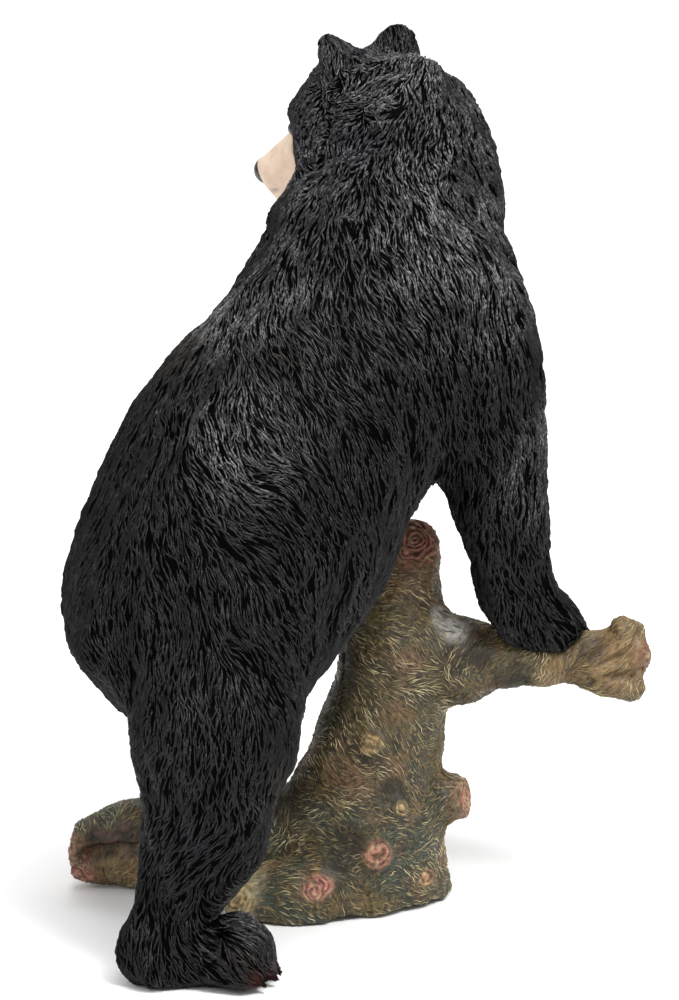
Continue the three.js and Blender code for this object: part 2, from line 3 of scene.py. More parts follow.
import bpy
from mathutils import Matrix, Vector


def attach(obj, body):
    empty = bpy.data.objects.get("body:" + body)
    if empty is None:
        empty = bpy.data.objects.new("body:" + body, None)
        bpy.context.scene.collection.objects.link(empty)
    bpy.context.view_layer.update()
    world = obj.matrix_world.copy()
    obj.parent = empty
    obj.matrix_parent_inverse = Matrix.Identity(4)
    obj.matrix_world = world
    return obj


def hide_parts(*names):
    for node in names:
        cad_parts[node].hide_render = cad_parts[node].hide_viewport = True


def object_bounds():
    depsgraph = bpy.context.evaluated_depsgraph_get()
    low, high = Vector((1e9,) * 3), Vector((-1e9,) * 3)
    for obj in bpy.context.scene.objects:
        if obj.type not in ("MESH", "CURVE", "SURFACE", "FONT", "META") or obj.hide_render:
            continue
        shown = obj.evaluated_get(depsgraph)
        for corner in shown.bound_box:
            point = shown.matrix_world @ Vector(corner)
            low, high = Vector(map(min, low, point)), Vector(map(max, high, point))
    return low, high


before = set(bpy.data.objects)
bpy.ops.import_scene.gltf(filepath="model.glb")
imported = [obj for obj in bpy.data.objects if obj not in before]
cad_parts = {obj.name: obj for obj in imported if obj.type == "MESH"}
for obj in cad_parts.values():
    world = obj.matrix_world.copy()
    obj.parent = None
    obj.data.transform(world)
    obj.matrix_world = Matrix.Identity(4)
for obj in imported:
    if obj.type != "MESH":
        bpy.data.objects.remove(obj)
CAD_BOX = [list(corner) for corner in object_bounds()]

import math

import bpy
import numpy as np
from bpy.props import FloatProperty, FloatVectorProperty, IntProperty, PointerProperty
from mathutils import Matrix, Vector, kdtree, noise

bl_info = {
    "name": "Bear on a stump",
    "version": (1, 0, 0),
    "blender": (4, 5, 0),
    "location": "3D View > Sidebar > Figurine",
    "description": "Carves and paints a resin figurine of a bear that leans on a tree stump",
    "category": "Object",
}

MM = 0.001
BASE_CENTRE = Vector((8.92, 10.62, 0.0))  # the frame's origin among the sculptor's places, in millimetres
BEAR_SEED, STUMP_SEED = 11, 12


def at(x, y, z):
    """A place given in the sculptor's millimetres, as a point of the frame."""
    return (Vector((x, y, z)) - BASE_CENTRE) * MM


# Places of the sculpture, in millimetres. The bear faces -Y and its left is +X.

SKULL = (19, -25, 235)
GAZE = Vector((0.952, 0.083, -0.292)).normalized()
EYES = [(18.6, 10.2, 1.2), (18.6, -10.2, 1.2)]  # in the head's own frame: forward, left, up
NOSE = (44.1, 0, -8)
SNOUT = [(16, 0, -12.5), (38, 0, -14.5)]  # the middle line of the bare muzzle
HIND_FEET = [((-15.5, 80.3, 0), (-0.643, -0.766, 0)), ((37.5, 32.5, 33), (0.1, -1, -0.16))]
FRONT_PAWS = [((-31, -51, 87.5), (-0.3, -1, -0.25)), ((48, -42, 88), (0.2, -1, -0.2))]
HIND_TOES = {"reach": 27.5, "spread": 11.5, "radius": 4.2, "height": 4.8}
FRONT_TOES = {"reach": 17, "spread": 9.5, "radius": 3.8, "height": -4.5}
TOE_COUNT = 5
CLAW_LENGTH, CLAW_RADII = 3.2, (1.7, 0.3)

# The lie of the coat: a place, and the way that the hair runs there
COAT_FLOW = [
    ((14, -8, 258), (-0.6, -0.6, -0.5)), ((11, -11, 251), (-0.3, -0.7, -0.6)),
    ((12, -7, 246), (-0.3, 0.5, -0.8)), ((24, -7, 241), (0.2, 0.3, -0.9)),
    ((13, -3, 234), (-0.5, 0.4, -0.8)), ((16, -3, 228), (-0.5, 0.3, -0.8)),
    ((4, -2, 233), (-0.7, 0.4, -0.6)), ((1, -9, 245), (0.3, 0.4, -0.8)),
    ((-8, -9, 240), (0.6, 0.7, -0.3)), ((-2, -6, 236), (0.7, 0.5, -0.5)),
    ((-9, -13, 243), (0.3, 0.9, -0.4)), ((3, -25, 254), (-0.7, 0.7, -0.1)),
    ((18, -38, 258), (-0.5, 0.4, -0.8)), ((-12, -24, 247), (-0.6, 0.4, -0.7)),
    ((-15, -18, 239), (-0.2, 0.4, -0.9)), ((-15, -29, 241), (-0.6, -0.2, -0.8)),
    ((-19, -36, 235), (-0.2, -0.6, -0.8)), ((-21, -22, 231), (-0.5, -0.0, -0.9)),
    ((-24, -33, 221), (-0.3, -0.5, -0.8)), ((-12, -5, 229), (-0.5, 0.5, -0.7)),
    ((-4, 2, 227), (-0.5, 0.6, -0.6)), ((1, 6, 221), (0.1, 0.5, -0.8)),
    ((2, 13, 213), (-0.1, 0.7, -0.7)), ((-11, 9, 218), (-0.4, 0.5, -0.7)),
    ((-20, 4, 216), (-0.6, 0.3, -0.7)), ((-20, -10, 225), (-0.7, 0.2, -0.7)),
    ((-31, -12, 213), (-0.5, -0.5, -0.7)), ((-35, -19, 207), (-0.7, -0.3, -0.6)),
    ((-43, -20, 199), (-0.5, -0.3, -0.8)), ((5, 22, 202), (0.2, 0.6, -0.8)),
    ((-12, 18, 204), (-0.2, 0.4, -0.9)), ((-22, 11, 206), (-0.5, 0.3, -0.8)),
    ((-28, 1, 205), (-0.6, -0.1, -0.8)), ((-37, -3, 198), (-0.8, 0.1, -0.6)),
    ((-44, -7, 192), (-0.5, 0.1, -0.8)), ((-48, -23, 188), (-0.1, -0.4, -0.9)),
    ((-47, -32, 178), (-0.1, -0.0, -1.0)), ((5, 33, 190), (-0.5, 0.6, -0.6)),
    ((-14, 27, 192), (-0.6, 0.5, -0.6)), ((-27, 19, 190), (-0.8, 0.2, -0.6)),
    ((-33, 13, 184), (-0.6, -0.4, -0.7)), ((15, 47, 175), (-0.1, 0.7, -0.7)),
    ((-11, 46, 179), (-0.6, 0.5, -0.6)), ((-25, 35, 180), (-0.6, 0.0, -0.8)),
    ((-29, 27, 180), (-0.5, -0.3, -0.8)), ((-35, 22, 174), (-0.7, -0.2, -0.7)),
    ((-41, 4, 173), (-0.3, -0.0, -1.0)), ((-44, -8, 172), (-0.2, -0.2, -0.9)),
    ((-49, -19, 171), (-0.2, -0.1, -1.0)), ((17, 64, 157), (0.0, 0.5, -0.9)),
    ((-5, 70, 153), (-0.4, 0.4, -0.8)), ((-15, 64, 157), (-0.6, 0.2, -0.8)),
    ((-23, 55, 163), (-0.5, -0.1, -0.9)), ((-33, 47, 160), (-0.3, -0.4, -0.9)),
    ((-39, 33, 156), (-0.3, -0.2, -0.9)), ((-42, 16, 160), (-0.1, -0.4, -0.9)),
    ((-40, -4, 154), (0.4, -0.3, -0.8)), ((-47, -13, 157), (-0.1, -0.3, -0.9)),
    ((-50, -30, 152), (0.1, -0.3, -0.9)), ((9, 78, 137), (-0.1, 0.5, -0.9)),
    ((-11, 79, 135), (-0.2, 0.3, -0.9)), ((-23, 69, 145), (-0.8, 0.1, -0.6)),
    ((-29, 61, 147), (-0.5, -0.3, -0.8)), ((-38, 47, 147), (-0.5, -0.1, -0.8)),
    ((-43, 32, 142), (-0.3, -0.1, -1.0)), ((-43, 18, 140), (0.0, -0.1, -1.0)),
    ((-35, -16, 137), (0.2, -0.4, -0.9)), ((-47, -25, 137), (0.2, 0.1, -1.0)),
    ((-40, -45, 133), (-0.5, 0.6, -0.6)), ((-27, 74, 129), (-0.8, -0.0, -0.6)),
    ((-31, 66, 137), (-0.8, -0.3, -0.6)), ((-34, 65, 130), (-0.2, -0.9, -0.3)),
    ((-39, 58, 134), (-0.8, -0.4, -0.5)), ((-39, 62, 122), (-0.6, -0.5, -0.6)),
    ((-42, 50, 129), (-0.2, -0.1, -1.0)), ((-44, 37, 125), (-0.2, -0.0, -1.0)),
    ((-42, 24, 121), (0.2, 0.2, -1.0)), ((10, 88, 115), (-0.0, 0.2, -1.0)),
    ((-12, 87, 114), (-0.1, 0.2, -1.0)), ((-26, 80, 112), (-0.3, 0.1, -0.9)),
    ((-33, 73, 115), (-0.3, -0.1, -1.0)), ((-41, 65, 113), (-0.5, -0.2, -0.9)),
    ((-43, 56, 108), (-0.2, -0.5, -0.9)), ((-44, 44, 110), (-0.1, -0.2, -1.0)),
    ((-43, 32, 110), (0.2, 0.3, -0.9)), ((-37, -22, 118), (0.3, -0.4, -0.9)),
    ((-45, -34, 118), (0.6, -0.3, -0.8)), ((-38, -35, 98), (0.2, -0.1, -1.0)),
    ((-41, -50, 93), (-0.4, -0.7, -0.6)), ((-44, -52, 84), (-0.3, -0.2, -0.9)),
    ((2, 96, 98), (-0.5, 0.3, -0.8)), ((-8, 88, 89), (0.2, -0.2, -0.9)),
    ((-31, 88, 88), (-0.5, 0.4, -0.8)), ((-42, 79, 89), (0.1, -0.1, -1.0)),
    ((-44, 63, 93), (0.0, -0.4, -0.9)), ((-44, 51, 82), (0.2, -0.2, -0.9)),
    ((-21, 91, 74), (0.0, -0.1, -1.0)), ((-38, 90, 73), (0.3, -0.2, -0.9)),
    ((-47, 79, 73), (-0.1, 0.1, -1.0)), ((-49, 63, 70), (-0.1, 0.3, -1.0)),
    ((-25, 87, 55), (0.2, -0.1, -1.0)), ((-37, 82, 57), (0.3, -0.1, -0.9)),
    ((-42, 70, 53), (0.5, -0.1, -0.9)), ((-29, 85, 43), (0.5, 0.4, -0.7)),
    ((-35, 79, 38), (0.6, 0.3, -0.8)), ((-39, 70, 40), (0.0, 0.6, -0.8)),
    ((-19, 86, 30), (0.2, 0.3, -0.9)), ((-29, 80, 25), (0.1, 0.5, -0.8)),
    ((-19, 92, 16), (-0.3, 0.4, -0.9)), ((-26, 87, 9), (0.2, -0.2, -1.0)),
    ((-27, 70, 20), (-0.6, -0.75, -0.1)), ((-33, 68, 18), (-0.64, -0.77, -0.1)),
    ((-38, 66, 12), (-0.64, -0.77, -0.25)), ((-34, 74, 6), (-0.6, -0.7, -0.3)),
    ((-40, 60, 8), (-0.64, -0.77, -0.3)), ((-30, 60, 19), (-0.64, -0.77, -0.1)),
    ((-24, 58, 18), (-0.64, -0.77, 0)),
    ((30, -25, 262), (-1, 0.2, -0.3)), ((42, -24, 240), (-0.6, 0.1, 0.8)),
    ((25, -48, 228), (-0.3, -0.4, -1)), ((-14, -30, 235), (-0.3, 0.1, -1)),
    ((24, -30, 205), (0.1, -0.1, -1)), ((38, -15, 190), (0.1, -0.1, -1)),
    ((40, 20, 140), (0.1, 0.2, -1)), ((40, 45, 105), (0, -0.7, -1)),
    ((0, -55, 165), (0, 0.1, -1)), ((-20, -50, 180), (0, 0, -1)), ((20, -50, 180), (0, 0, -1)),
    ((0, -10, 110), (0, 0.3, -1)), ((0, 40, 80), (0, 0, -1)),
    ((44, 25, 85), (0.1, -0.3, -1)), ((40, 10, 62), (0.1, -0.5, -1)), ((42, 15, 42), (0.1, -1, -0.3)),
    ((52, -28, 130), (0, -0.2, -1)), ((35, -45, 150), (0, 0.1, -1)), ((50, -30, 105), (0, -0.3, -1)),
    ((50, -52, 90), (0.2, -1, -0.5)), ((-33, -60, 90), (-0.3, -1, -0.5)), ((-36, -48, 120), (0, -0.1, -1)),
    ((0, 70, 60), (0, 0, -1)), ((0, 80, 30), (0, 0.1, -1)), ((-10, 60, 8), (-0.6, -0.8, -0.1)),
]

# Creases of the bear: a bent line of places, how far it reaches to its sides, and its depth
CREASES = [
    ([(19, 0, 220), (16, 1, 222), (8, 1.5, 226), (-1, -1, 231), (-6, -5, 233), (-13, -8, 235)], 5.5, 2.6),
    ([(-31, 77, 8), (-32, 75, 13), (-31, 72, 17), (-28, 68, 19)], 3.5, 1.1),
    ([(26, -46, 218), (22, -50, 226), (14, -50, 232)], 6, 2.0),
]
MOUTH = [(42, 0, -14.5), (38, 6, -14.8), (30, 9.5, -15.5), (21, 12.5, -14)]  # in the head's own frame
MOUTH_REACH, MOUTH_DEPTH = 1.3, 0.9
TOE_FOLD = [(-7, 0, 5), (0, 0, 3), (4, 0, -3)]  # from the middle between two toes, in the paw's own frame
TOE_FOLD_REACH, TOE_FOLD_DEPTH = 1.7, 1.5

# Where the form is fuller (or, below zero, leaner) than the solid: place, reach and millimetres
BEAR_SWELLS = [
    ((9, 82, 79), 18, -2.4), ((15, 88, 97), 14, 1.0), ((17, 17, 200), 15, -2.2),
    ((22, 30, 187), 15, -2.4), ((-9, -41, 243), 12, -1.7), ((-2, -31, 252), 10, 2.6),
    ((-14, -49, 218), 18, 1.6), ((-40, -34, 196), 13, -1.6), ((-41, -39, 177), 12, 0.8),
    ((-51, -33, 161), 11, -1.2), ((-43, -43, 141), 15, 1.4), ((-45, -44, 118), 14, 0.7),
]
STUMP_SWELLS = [
    ((-42, -54, 69), 11, -1.8), ((-12, -42, 64), 12, 2.0), ((-51, -66, 89), 6, 1.4),
    ((-58, -70, 84), 5, -0.8), ((-55, -68, 68), 6, 1.2), ((56, 42, 2), 10, -1.8), ((66, 50, 4), 8, -1.5),
]

# Grooves between the lobes of the broken branch, and the hollow of the left root
STUMP_CREASES = [
    ([(-57, -68, 85.5), (-56.5, -65.6, 82.4), (-55, -62.5, 79), (-50, -58, 77)], 2.6, 1.8),
    ([(-60, -72, 74.5), (-56, -66, 73.7), (-53, -60.5, 73.2), (-48, -56, 72)], 2.6, 1.8),
    ([(-44, -54, 79), (-48, -56, 83), (-50, -60, 87)], 4.5, 1.8),
    ([(61, 48, 12.6), (56.6, 44.6, 13), (51.5, 41, 13.4), (42, 33, 14)], 4.0, 4.4),
    ([(60, 46, 16.5), (54, 42, 18), (44, 34, 19)], 7, 2.2),
]

# Sawn faces and knots of the stump: centre, the way the face looks, its radius, and how red it is
SAWN_FACES = [
    ((-2, -27, 111), (-0.61, 0.51, 0.6), 9.0, 0.95),
    ((71.7, 45.5, 10), (0.75, 0.66, 0.1), 9, 1.0),
    ((64, -46, 78), (0.9, -0.35, 0.25), 8.5, 0.9),
    ((-7, -6, 53), (-0.7, 0.7, 0.2), 3.8, 0.1),
    ((-4, 12, 11.4), (-0.4, 0.9, 0.15), 4.2, 1.0),
    ((-11.8, -5, 19.8), (-0.75, 0.6, 0.25), 4.6, 0.85),
    ((-13.6, -12.8, 33.2), (-0.8, 0.5, 0.3), 2.4, 0.1),
    ((-15.4, -21.6, 10), (-0.9, 0.3, 0.25), 3.2, 0.4),
    ((12, 30, 7), (-0.3, 0.95, 0.2), 6, 0.0),
    ((-12, -40, 31), (-0.75, -0.5, 0.1), 6.8, 0.7),
    ((27, -26, 40), (0.9, -0.2, 0.3), 5.4, 0.8),
    ((14, -44, 20), (0.1, -1, 0.2), 5, 0.7),
]

# Places of the wood, each with its reach: the rough reddish ends, where the paint is of another kind, and
# where painted shade and painted highlight go
BROKEN_ENDS = [((-58, -72, 79), 10), ((67, 51, 15), 7), ((67, 50, 9), 9), ((68, 49, 3), 8)]
CREAM_PLACES = [((13, 28, 8), 9), ((14, 24, 12), 8)]
# Painted shade, with some dark paint: darker by the slit beside the leg, under the branch by the paw and in
# grooves
SHADE_AND_DARK_PLACES = [((12, -7, 62), 13), ((8, -8, 74), 12), ((-5, 4, 16), 8), ((-6, 1, 24), 8), ((-22, -34, 80), 9),
               ((-30, -42, 70), 8), ((-11, -12, 38), 7), ((-48, -56, 82), 7), ((20, 0, 30), 16)]
# Painted shade inside the hollow of the left root, in a reddish brown
HOLLOW_PLACES = [((59, 46, 17.5), 7), ((53, 41, 18.5), 8), ((45, 35, 19), 9), ((56, 44, 13.5), 4),
                 ((50, 40, 14), 4)]
WARM_PLACES = [((-52, -62, 78), 19), ((-38, -52, 74), 9), ((52, 40, 7), 13), ((44, 34, 8), 12)]
# Painted highlight: grey white where light falls on the saddle between the upright stub and the branch, and on
# rims
RIM_HIGHLIGHT_PLACES = [((-12, -31, 88), 6), ((-16, -31, 86), 6), ((-3, -30, 96), 5), ((14, -10, 70), 4)]
KNOBS = [((-58, -70, 81), 3.5), ((-57, -67, 78), 3), ((-56, -68, 69), 3.5), ((-50, -66, 89), 3.5),
         ((-54, -70, 87), 3)]
PITS = [((-58, -69, 81), 2.2, 1.0), ((-57, -67, 78.5), 1.8, 0.8), ((-59, -72, 72), 2, 0.8)]

# The wood's limbs, as bent lines of places with the wood's mean radius there
WOOD_LIMBS = [
    ([(13, -15, -6), (11, -18, 22), (7, -22, 50), (4, -25, 76), (1, -29, 118)], 17),
    ([(-6, -33, 75), (-24, -46, 75), (-33, -53, 75), (-60, -75, 77)], 8),
    ([(14, -29, 74), (36, -37, 75), (50, -42, 76), (70, -48, 79)], 8),
    ([(30, 5, 20), (42, 17, 24), (58, 33, 19), (74, 48, 12)], 9),
    ([(30, 3, 5), (42, 15, 5), (74, 48, 5)], 10),
    ([(7, 2, 4), (6, 20, 0)], 9),
]


def line_distance(points, line):
    """How far each point is from a bent line, in the line's own unit, and how far along the line it is."""
    places = np.array(line, float)
    best, along, done = np.full(len(points), np.inf), np.zeros(len(points)), 0.0
    for start, end in zip(places[:-1], places[1:]):
        run = end - start
        share = np.clip((points - start) @ run / (run @ run), 0, 1)
        apart = np.linalg.norm(points - start - share[:, None] * run, axis=1)
        length = np.linalg.norm(run)
        along = np.where(apart < best, done + share * length, along)
        best = np.minimum(best, apart)
        done += length
    return best, along


def frame_matrix(origin, forward):
    """The matrix from a part's own frame (forward, left, up, in millimetres) to the frame in metres."""
    f = Vector(forward).normalized()
    left = Vector((0, 0, 1)).cross(f).normalized()
    up = f.cross(left)
    turn = Matrix((f, left, up)).transposed().to_4x4()
    return Matrix.Translation(at(*origin)) @ turn @ Matrix.Scale(MM, 4)


HEAD = frame_matrix(SKULL, GAZE)


# Meshes as arrays

def points_of(mesh):
    co = np.empty(len(mesh.vertices) * 3)
    mesh.vertices.foreach_get("co", co)
    return co.reshape(-1, 3)


def normals_of(mesh):
    no = np.empty(len(mesh.vertices) * 3)
    mesh.vertex_normals.foreach_get("vector", no)
    return no.reshape(-1, 3)


def set_points(mesh, co):
    mesh.vertices.foreach_set("co", co.astype(np.float32).ravel())
    mesh.update()


def paint(mesh, name, values):
    """Stores one number for each vertex, which a material reads by its name."""
    layer = mesh.attributes.get(name) or mesh.attributes.new(name, "FLOAT", "POINT")
    layer.data.foreach_set("value", np.asarray(values, np.float32))


def read_paint(mesh, name):
    values = np.empty(len(mesh.vertices), np.float32)
    mesh.attributes[name].data.foreach_get("value", values)
    return values


def smoothstep(low, high, value):
    t = np.clip((value - low) / (high - low), 0, 1)
    return t * t * (3 - 2 * t)


def unit(vectors):
    return vectors / np.maximum(np.linalg.norm(vectors, axis=-1, keepdims=True), 1e-12)


def sculpt(points):
    """Points of the frame in the sculptor's millimetres."""
    return points / MM + np.array(BASE_CENTRE)


def local(points, matrix):
    """Points of the frame in a part's own frame, in millimetres."""
    inverse = np.array(matrix.inverted())
    return points @ inverse[:3, :3].T + inverse[:3, 3]


def placed(points, matrix):
    """Points of a part's own frame, in millimetres, in the frame."""
    turn = np.array(matrix)
    return points @ turn[:3, :3].T + turn[:3, 3]


# Working on pieces

def only(piece):
    """Selects one piece and makes it active, with everything else deselected."""
    bpy.ops.object.select_all(action="DESELECT")
    piece.select_set(True)
    bpy.context.view_layer.objects.active = piece


def apply_modifier(piece, kind, **settings):
    modifier = piece.modifiers.new(kind.title(), kind)
    for name, value in settings.items():
        setattr(modifier, name, value)
    only(piece)
    bpy.ops.object.modifier_apply(modifier=modifier.name)


def face_outward(piece, weld=0.0):
    """Turns a piece's faces outward, once its points are merged where a distance is given."""
    only(piece)
    bpy.ops.object.mode_set(mode="EDIT")
    bpy.ops.mesh.select_all(action="SELECT")
    if weld:
        bpy.ops.mesh.remove_doubles(threshold=weld)
    bpy.ops.mesh.normals_make_consistent(inside=False)
    bpy.ops.object.mode_set(mode="OBJECT")


def casting_copy(node, name):
    """A merged copy of a solid, as the start of the carved piece."""
    piece = bpy.data.objects.new(name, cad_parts[node].data.copy())
    bpy.context.scene.collection.objects.link(piece)
    piece.data.materials.clear()
    face_outward(piece, weld=1e-5)
    return piece


def refine(piece, voxel, smoothing):
    """Turns the faceted solid into a fine even skin, ready for carving."""
    apply_modifier(piece, "SUBSURF", levels=2, render_levels=2)
    apply_modifier(piece, "REMESH", mode="VOXEL", voxel_size=voxel, adaptivity=0)
    apply_modifier(piece, "SMOOTH", factor=0.5, iterations=smoothing)


# Strokes of the carving tool

FLOW_REACH = 9.0  # a guide's hold on the flow evens out within this many millimetres


def flow_at(points, guides):
    """The way the carving runs at each point: the guides share it by their nearness."""
    total = np.zeros_like(points)
    for place, way in guides:
        apart = np.sum((points - np.array(at(*place))) ** 2, axis=1) + (FLOW_REACH * MM) ** 2
        total += np.array(Vector(way).normalized()) / (apart ** 2)[:, None]
    return unit(total)


def even_roots(points, spacing, rng):
    """Indices of points in a random order, no two much closer than the spacing."""
    order = rng.permutation(len(points))
    cells = np.floor(points[order] / spacing).astype(np.int64)
    key = (cells[:, 0] * 73856093) ^ (cells[:, 1] * 19349663) ^ (cells[:, 2] * 83492791)
    _, first = np.unique(key, return_index=True)
    return order[first]


class Near:
    """Finds which points lie near others, by a grid of cells."""

    SPAN = 1 << 20

    def __init__(self, points, reach):
        self.points, self.reach = points, reach
        self.low = points.min(0) - 2 * reach
        key = self.key(self.cells(points))
        self.order = np.argsort(key, kind="stable")
        self.sorted = key[self.order]

    def cells(self, points):
        return np.floor((points - self.low) / self.reach).astype(np.int64)

    def key(self, cells):
        return (cells[..., 0] * self.SPAN + cells[..., 1]) * self.SPAN + cells[..., 2]

    def pairs(self, centres):
        """Two arrays: the index of a centre, and that of a point within reach of it."""
        steps = np.array([(x, y, z) for x in (-1, 0, 1) for y in (-1, 0, 1) for z in (-1, 0, 1)])
        key = self.key(self.cells(centres)[:, None, :] + steps[None]).ravel()
        first = np.searchsorted(self.sorted, key, "left")
        count = np.searchsorted(self.sorted, key, "right") - first
        used = np.flatnonzero(count)
        first, count = first[used], count[used]
        run = np.arange(count.sum()) - np.repeat(np.cumsum(count) - count, count)
        point = self.order[np.repeat(first, count) + run]
        centre = np.repeat(used // len(steps), count)
        apart = np.sum((self.points[point] - centres[centre]) ** 2, axis=1)
        close = apart < self.reach ** 2
        return centre[close], point[close]


def walk(tree, points, normals, roots, way, long, curl, steps):
    """Follows the way from each root over the skin, and yields for each step the share of the stroke's
    length, the places, the normals and the headings there."""
    spot, normal = points[roots].copy(), normals[roots].copy()
    heading = unit(way[roots] - normal * np.sum(way[roots] * normal, axis=1)[:, None])
    for step in range(steps):
        yield step / (steps - 1), spot, normal, heading
        side = np.cross(normal, heading)
        spot = spot + heading * (long / (steps - 1))[:, None]
        nearest = closest(tree, spot)
        normal = unit(normals[nearest])
        spot = spot - normal * np.sum((spot - points[nearest]) * normal, axis=1)[:, None]
        turned = way[nearest] + side * (curl * (step / (steps - 1) - 0.4))[:, None]
        heading = unit(turned - normal * np.sum(turned * normal, axis=1)[:, None])


def carve_strokes(tree, points, normals, roots, way, length, width, bend, rng, steps=7):
    """Lays a tapered stroke from each root along the way, and returns how high each point is raised
    by the strokes over it, from 0 to 1."""
    size = rng.uniform(0.75, 1.25, len(roots))
    curl = rng.normal(0, bend, len(roots))
    tall = rng.uniform(0.72, 1.0, len(roots))
    long = length * size
    height = np.zeros(len(points))
    near = Near(points, 0.62 * max(width, 1.25 * length / steps))
    for u, spot, normal, heading in walk(tree, points, normals, roots, way, long, curl, steps):
        who, point = near.pairs(spot)
        away = points[point] - spot[who]
        along = np.sum(away * heading[who], axis=1)
        across = np.sum(away * np.cross(normal, heading)[who], axis=1)
        share = u + along / long[who]
        half = 0.5 * width * size[who] * np.sqrt(np.clip(1 - np.clip(share, 0, 1) ** 2.2, 0.02, 1))
        bulge = np.clip(1 - (across / half) ** 2, 0, 1) ** 0.7
        rise = smoothstep(-0.02, 0.3, share) * (1 - smoothstep(0.86, 1.02, share))
        facing = np.sum(normals[point] * normal[who], axis=1) > 0.3
        value = bulge * rise * (0.62 + 0.38 * share) * tall[who] * facing
        value[np.abs(along) > 0.75 * long[who] / steps] = 0
        np.maximum.at(height, point, value)
    return height


RIDGE_STEPS = 3  # lengths that one laid ridge is made of
RIM = 2e-5  # ridges stay this far inside the solid's box, in metres


def strands(name, tree, points, normals, roots, way, long, wide, tall, bend, sunk, rng):
    """A mesh of ridges that lie on the skin, one from each root: three-sided, widest before the middle
    and pointed at the end. Their lengths, widths and heights are given for each root, in metres."""
    count = len(roots)
    curl = rng.normal(0, bend, count)
    lean = rng.uniform(-0.35, 0.35, count)
    rings = []
    for u, spot, normal, heading in walk(tree, points, normals, roots, way, long, curl, RIDGE_STEPS + 1):
        side = np.cross(normal, heading)
        half = 0.5 * wide * math.sin(math.pi * (0.12 + 0.8 * u)) ** 0.75
        crest = tall * smoothstep(-0.25, 0.4, u) * (1 - 0.6 * smoothstep(0.75, 1.0, u))
        if u < 1:
            foot = spot - normal * (sunk * (1 - 0.5 * u))
            rings.append(foot - side * half[:, None])
            rings.append(spot + normal * crest[:, None] + side * (lean * half)[:, None])
            rings.append(foot + side * half[:, None])
        else:
            rings.append(spot + normal * (0.5 * crest)[:, None])
    corners = len(rings)
    faces = [(0, 1, 2)]
    for ring in range(0, corners - 4, 3):
        for a, b in ((0, 1), (1, 2), (2, 0)):
            faces.append((ring + a, ring + 3 + a, ring + 3 + b))
            faces.append((ring + a, ring + 3 + b, ring + b))
    last = corners - 4
    faces += [(last, last + 3, last + 1), (last + 1, last + 3, last + 2), (last + 2, last + 3, last)]
    low, high = np.array(CAD_BOX) + np.array([[RIM], [-RIM]])
    mesh = bpy.data.meshes.new(name)
    place = np.clip(np.stack(rings, axis=1).reshape(-1, 3), low, high)
    index = (np.arange(count) * corners)[:, None, None] + np.array(faces)[None]
    mesh.from_pydata(place.tolist(), [], index.reshape(-1, 3).tolist())
    crests = np.zeros(corners)
    crests[1::3] = 1
    crests[-1] = 0.8
    paint(mesh, "crest", np.tile(crests, count))
    paint(mesh, "tone", np.repeat(rng.random(count), corners))
    piece = bpy.data.objects.new(name, mesh)
    bpy.context.scene.collection.objects.link(piece)
    face_outward(piece)
    bpy.ops.object.shade_smooth()
    return piece


def tree_of(points):
    tree = kdtree.KDTree(len(points))
    for i, p in enumerate(points):
        tree.insert(p, i)
    tree.balance()
    return tree


def closest(tree, spots):
    """The index of the tree's nearest point to each spot."""
    return np.array([tree.find(s)[1] for s in spots])


def wobble(points, scale, seed):
    """Smooth random vectors, one for each point, from a grid that is blended between its corners."""
    rng = np.random.default_rng(seed)
    grid = rng.normal(0, 1, (24, 24, 24, 3))
    place = (points / scale) % 23
    cell = np.floor(place).astype(int)
    share = place - cell
    share = share * share * (3 - 2 * share)
    total = np.zeros_like(points)
    for x in (0, 1):
        for y in (0, 1):
            for z in (0, 1):
                weight = np.prod(np.where(np.array([x, y, z]), share, 1 - share), axis=1)
                total += grid[cell[:, 0] + x, cell[:, 1] + y, cell[:, 2] + z] * weight[:, None]
    return total


def thin(piece, triangles):
    """Brings a piece down to a number of triangles, and keeps its painted values."""
    fine = points_of(piece.data)
    names = [a.name for a in piece.data.attributes if a.data_type == "FLOAT" and a.domain == "POINT"]
    values = {name: read_paint(piece.data, name) for name in names}
    total = sum(len(p.vertices) - 2 for p in piece.data.polygons)
    apply_modifier(piece, "DECIMATE", ratio=min(1.0, triangles / total))
    index = closest(tree_of(fine), points_of(piece.data))
    for name in names:
        paint(piece.data, name, values[name][index])
    bpy.ops.object.shade_smooth()


# Materials

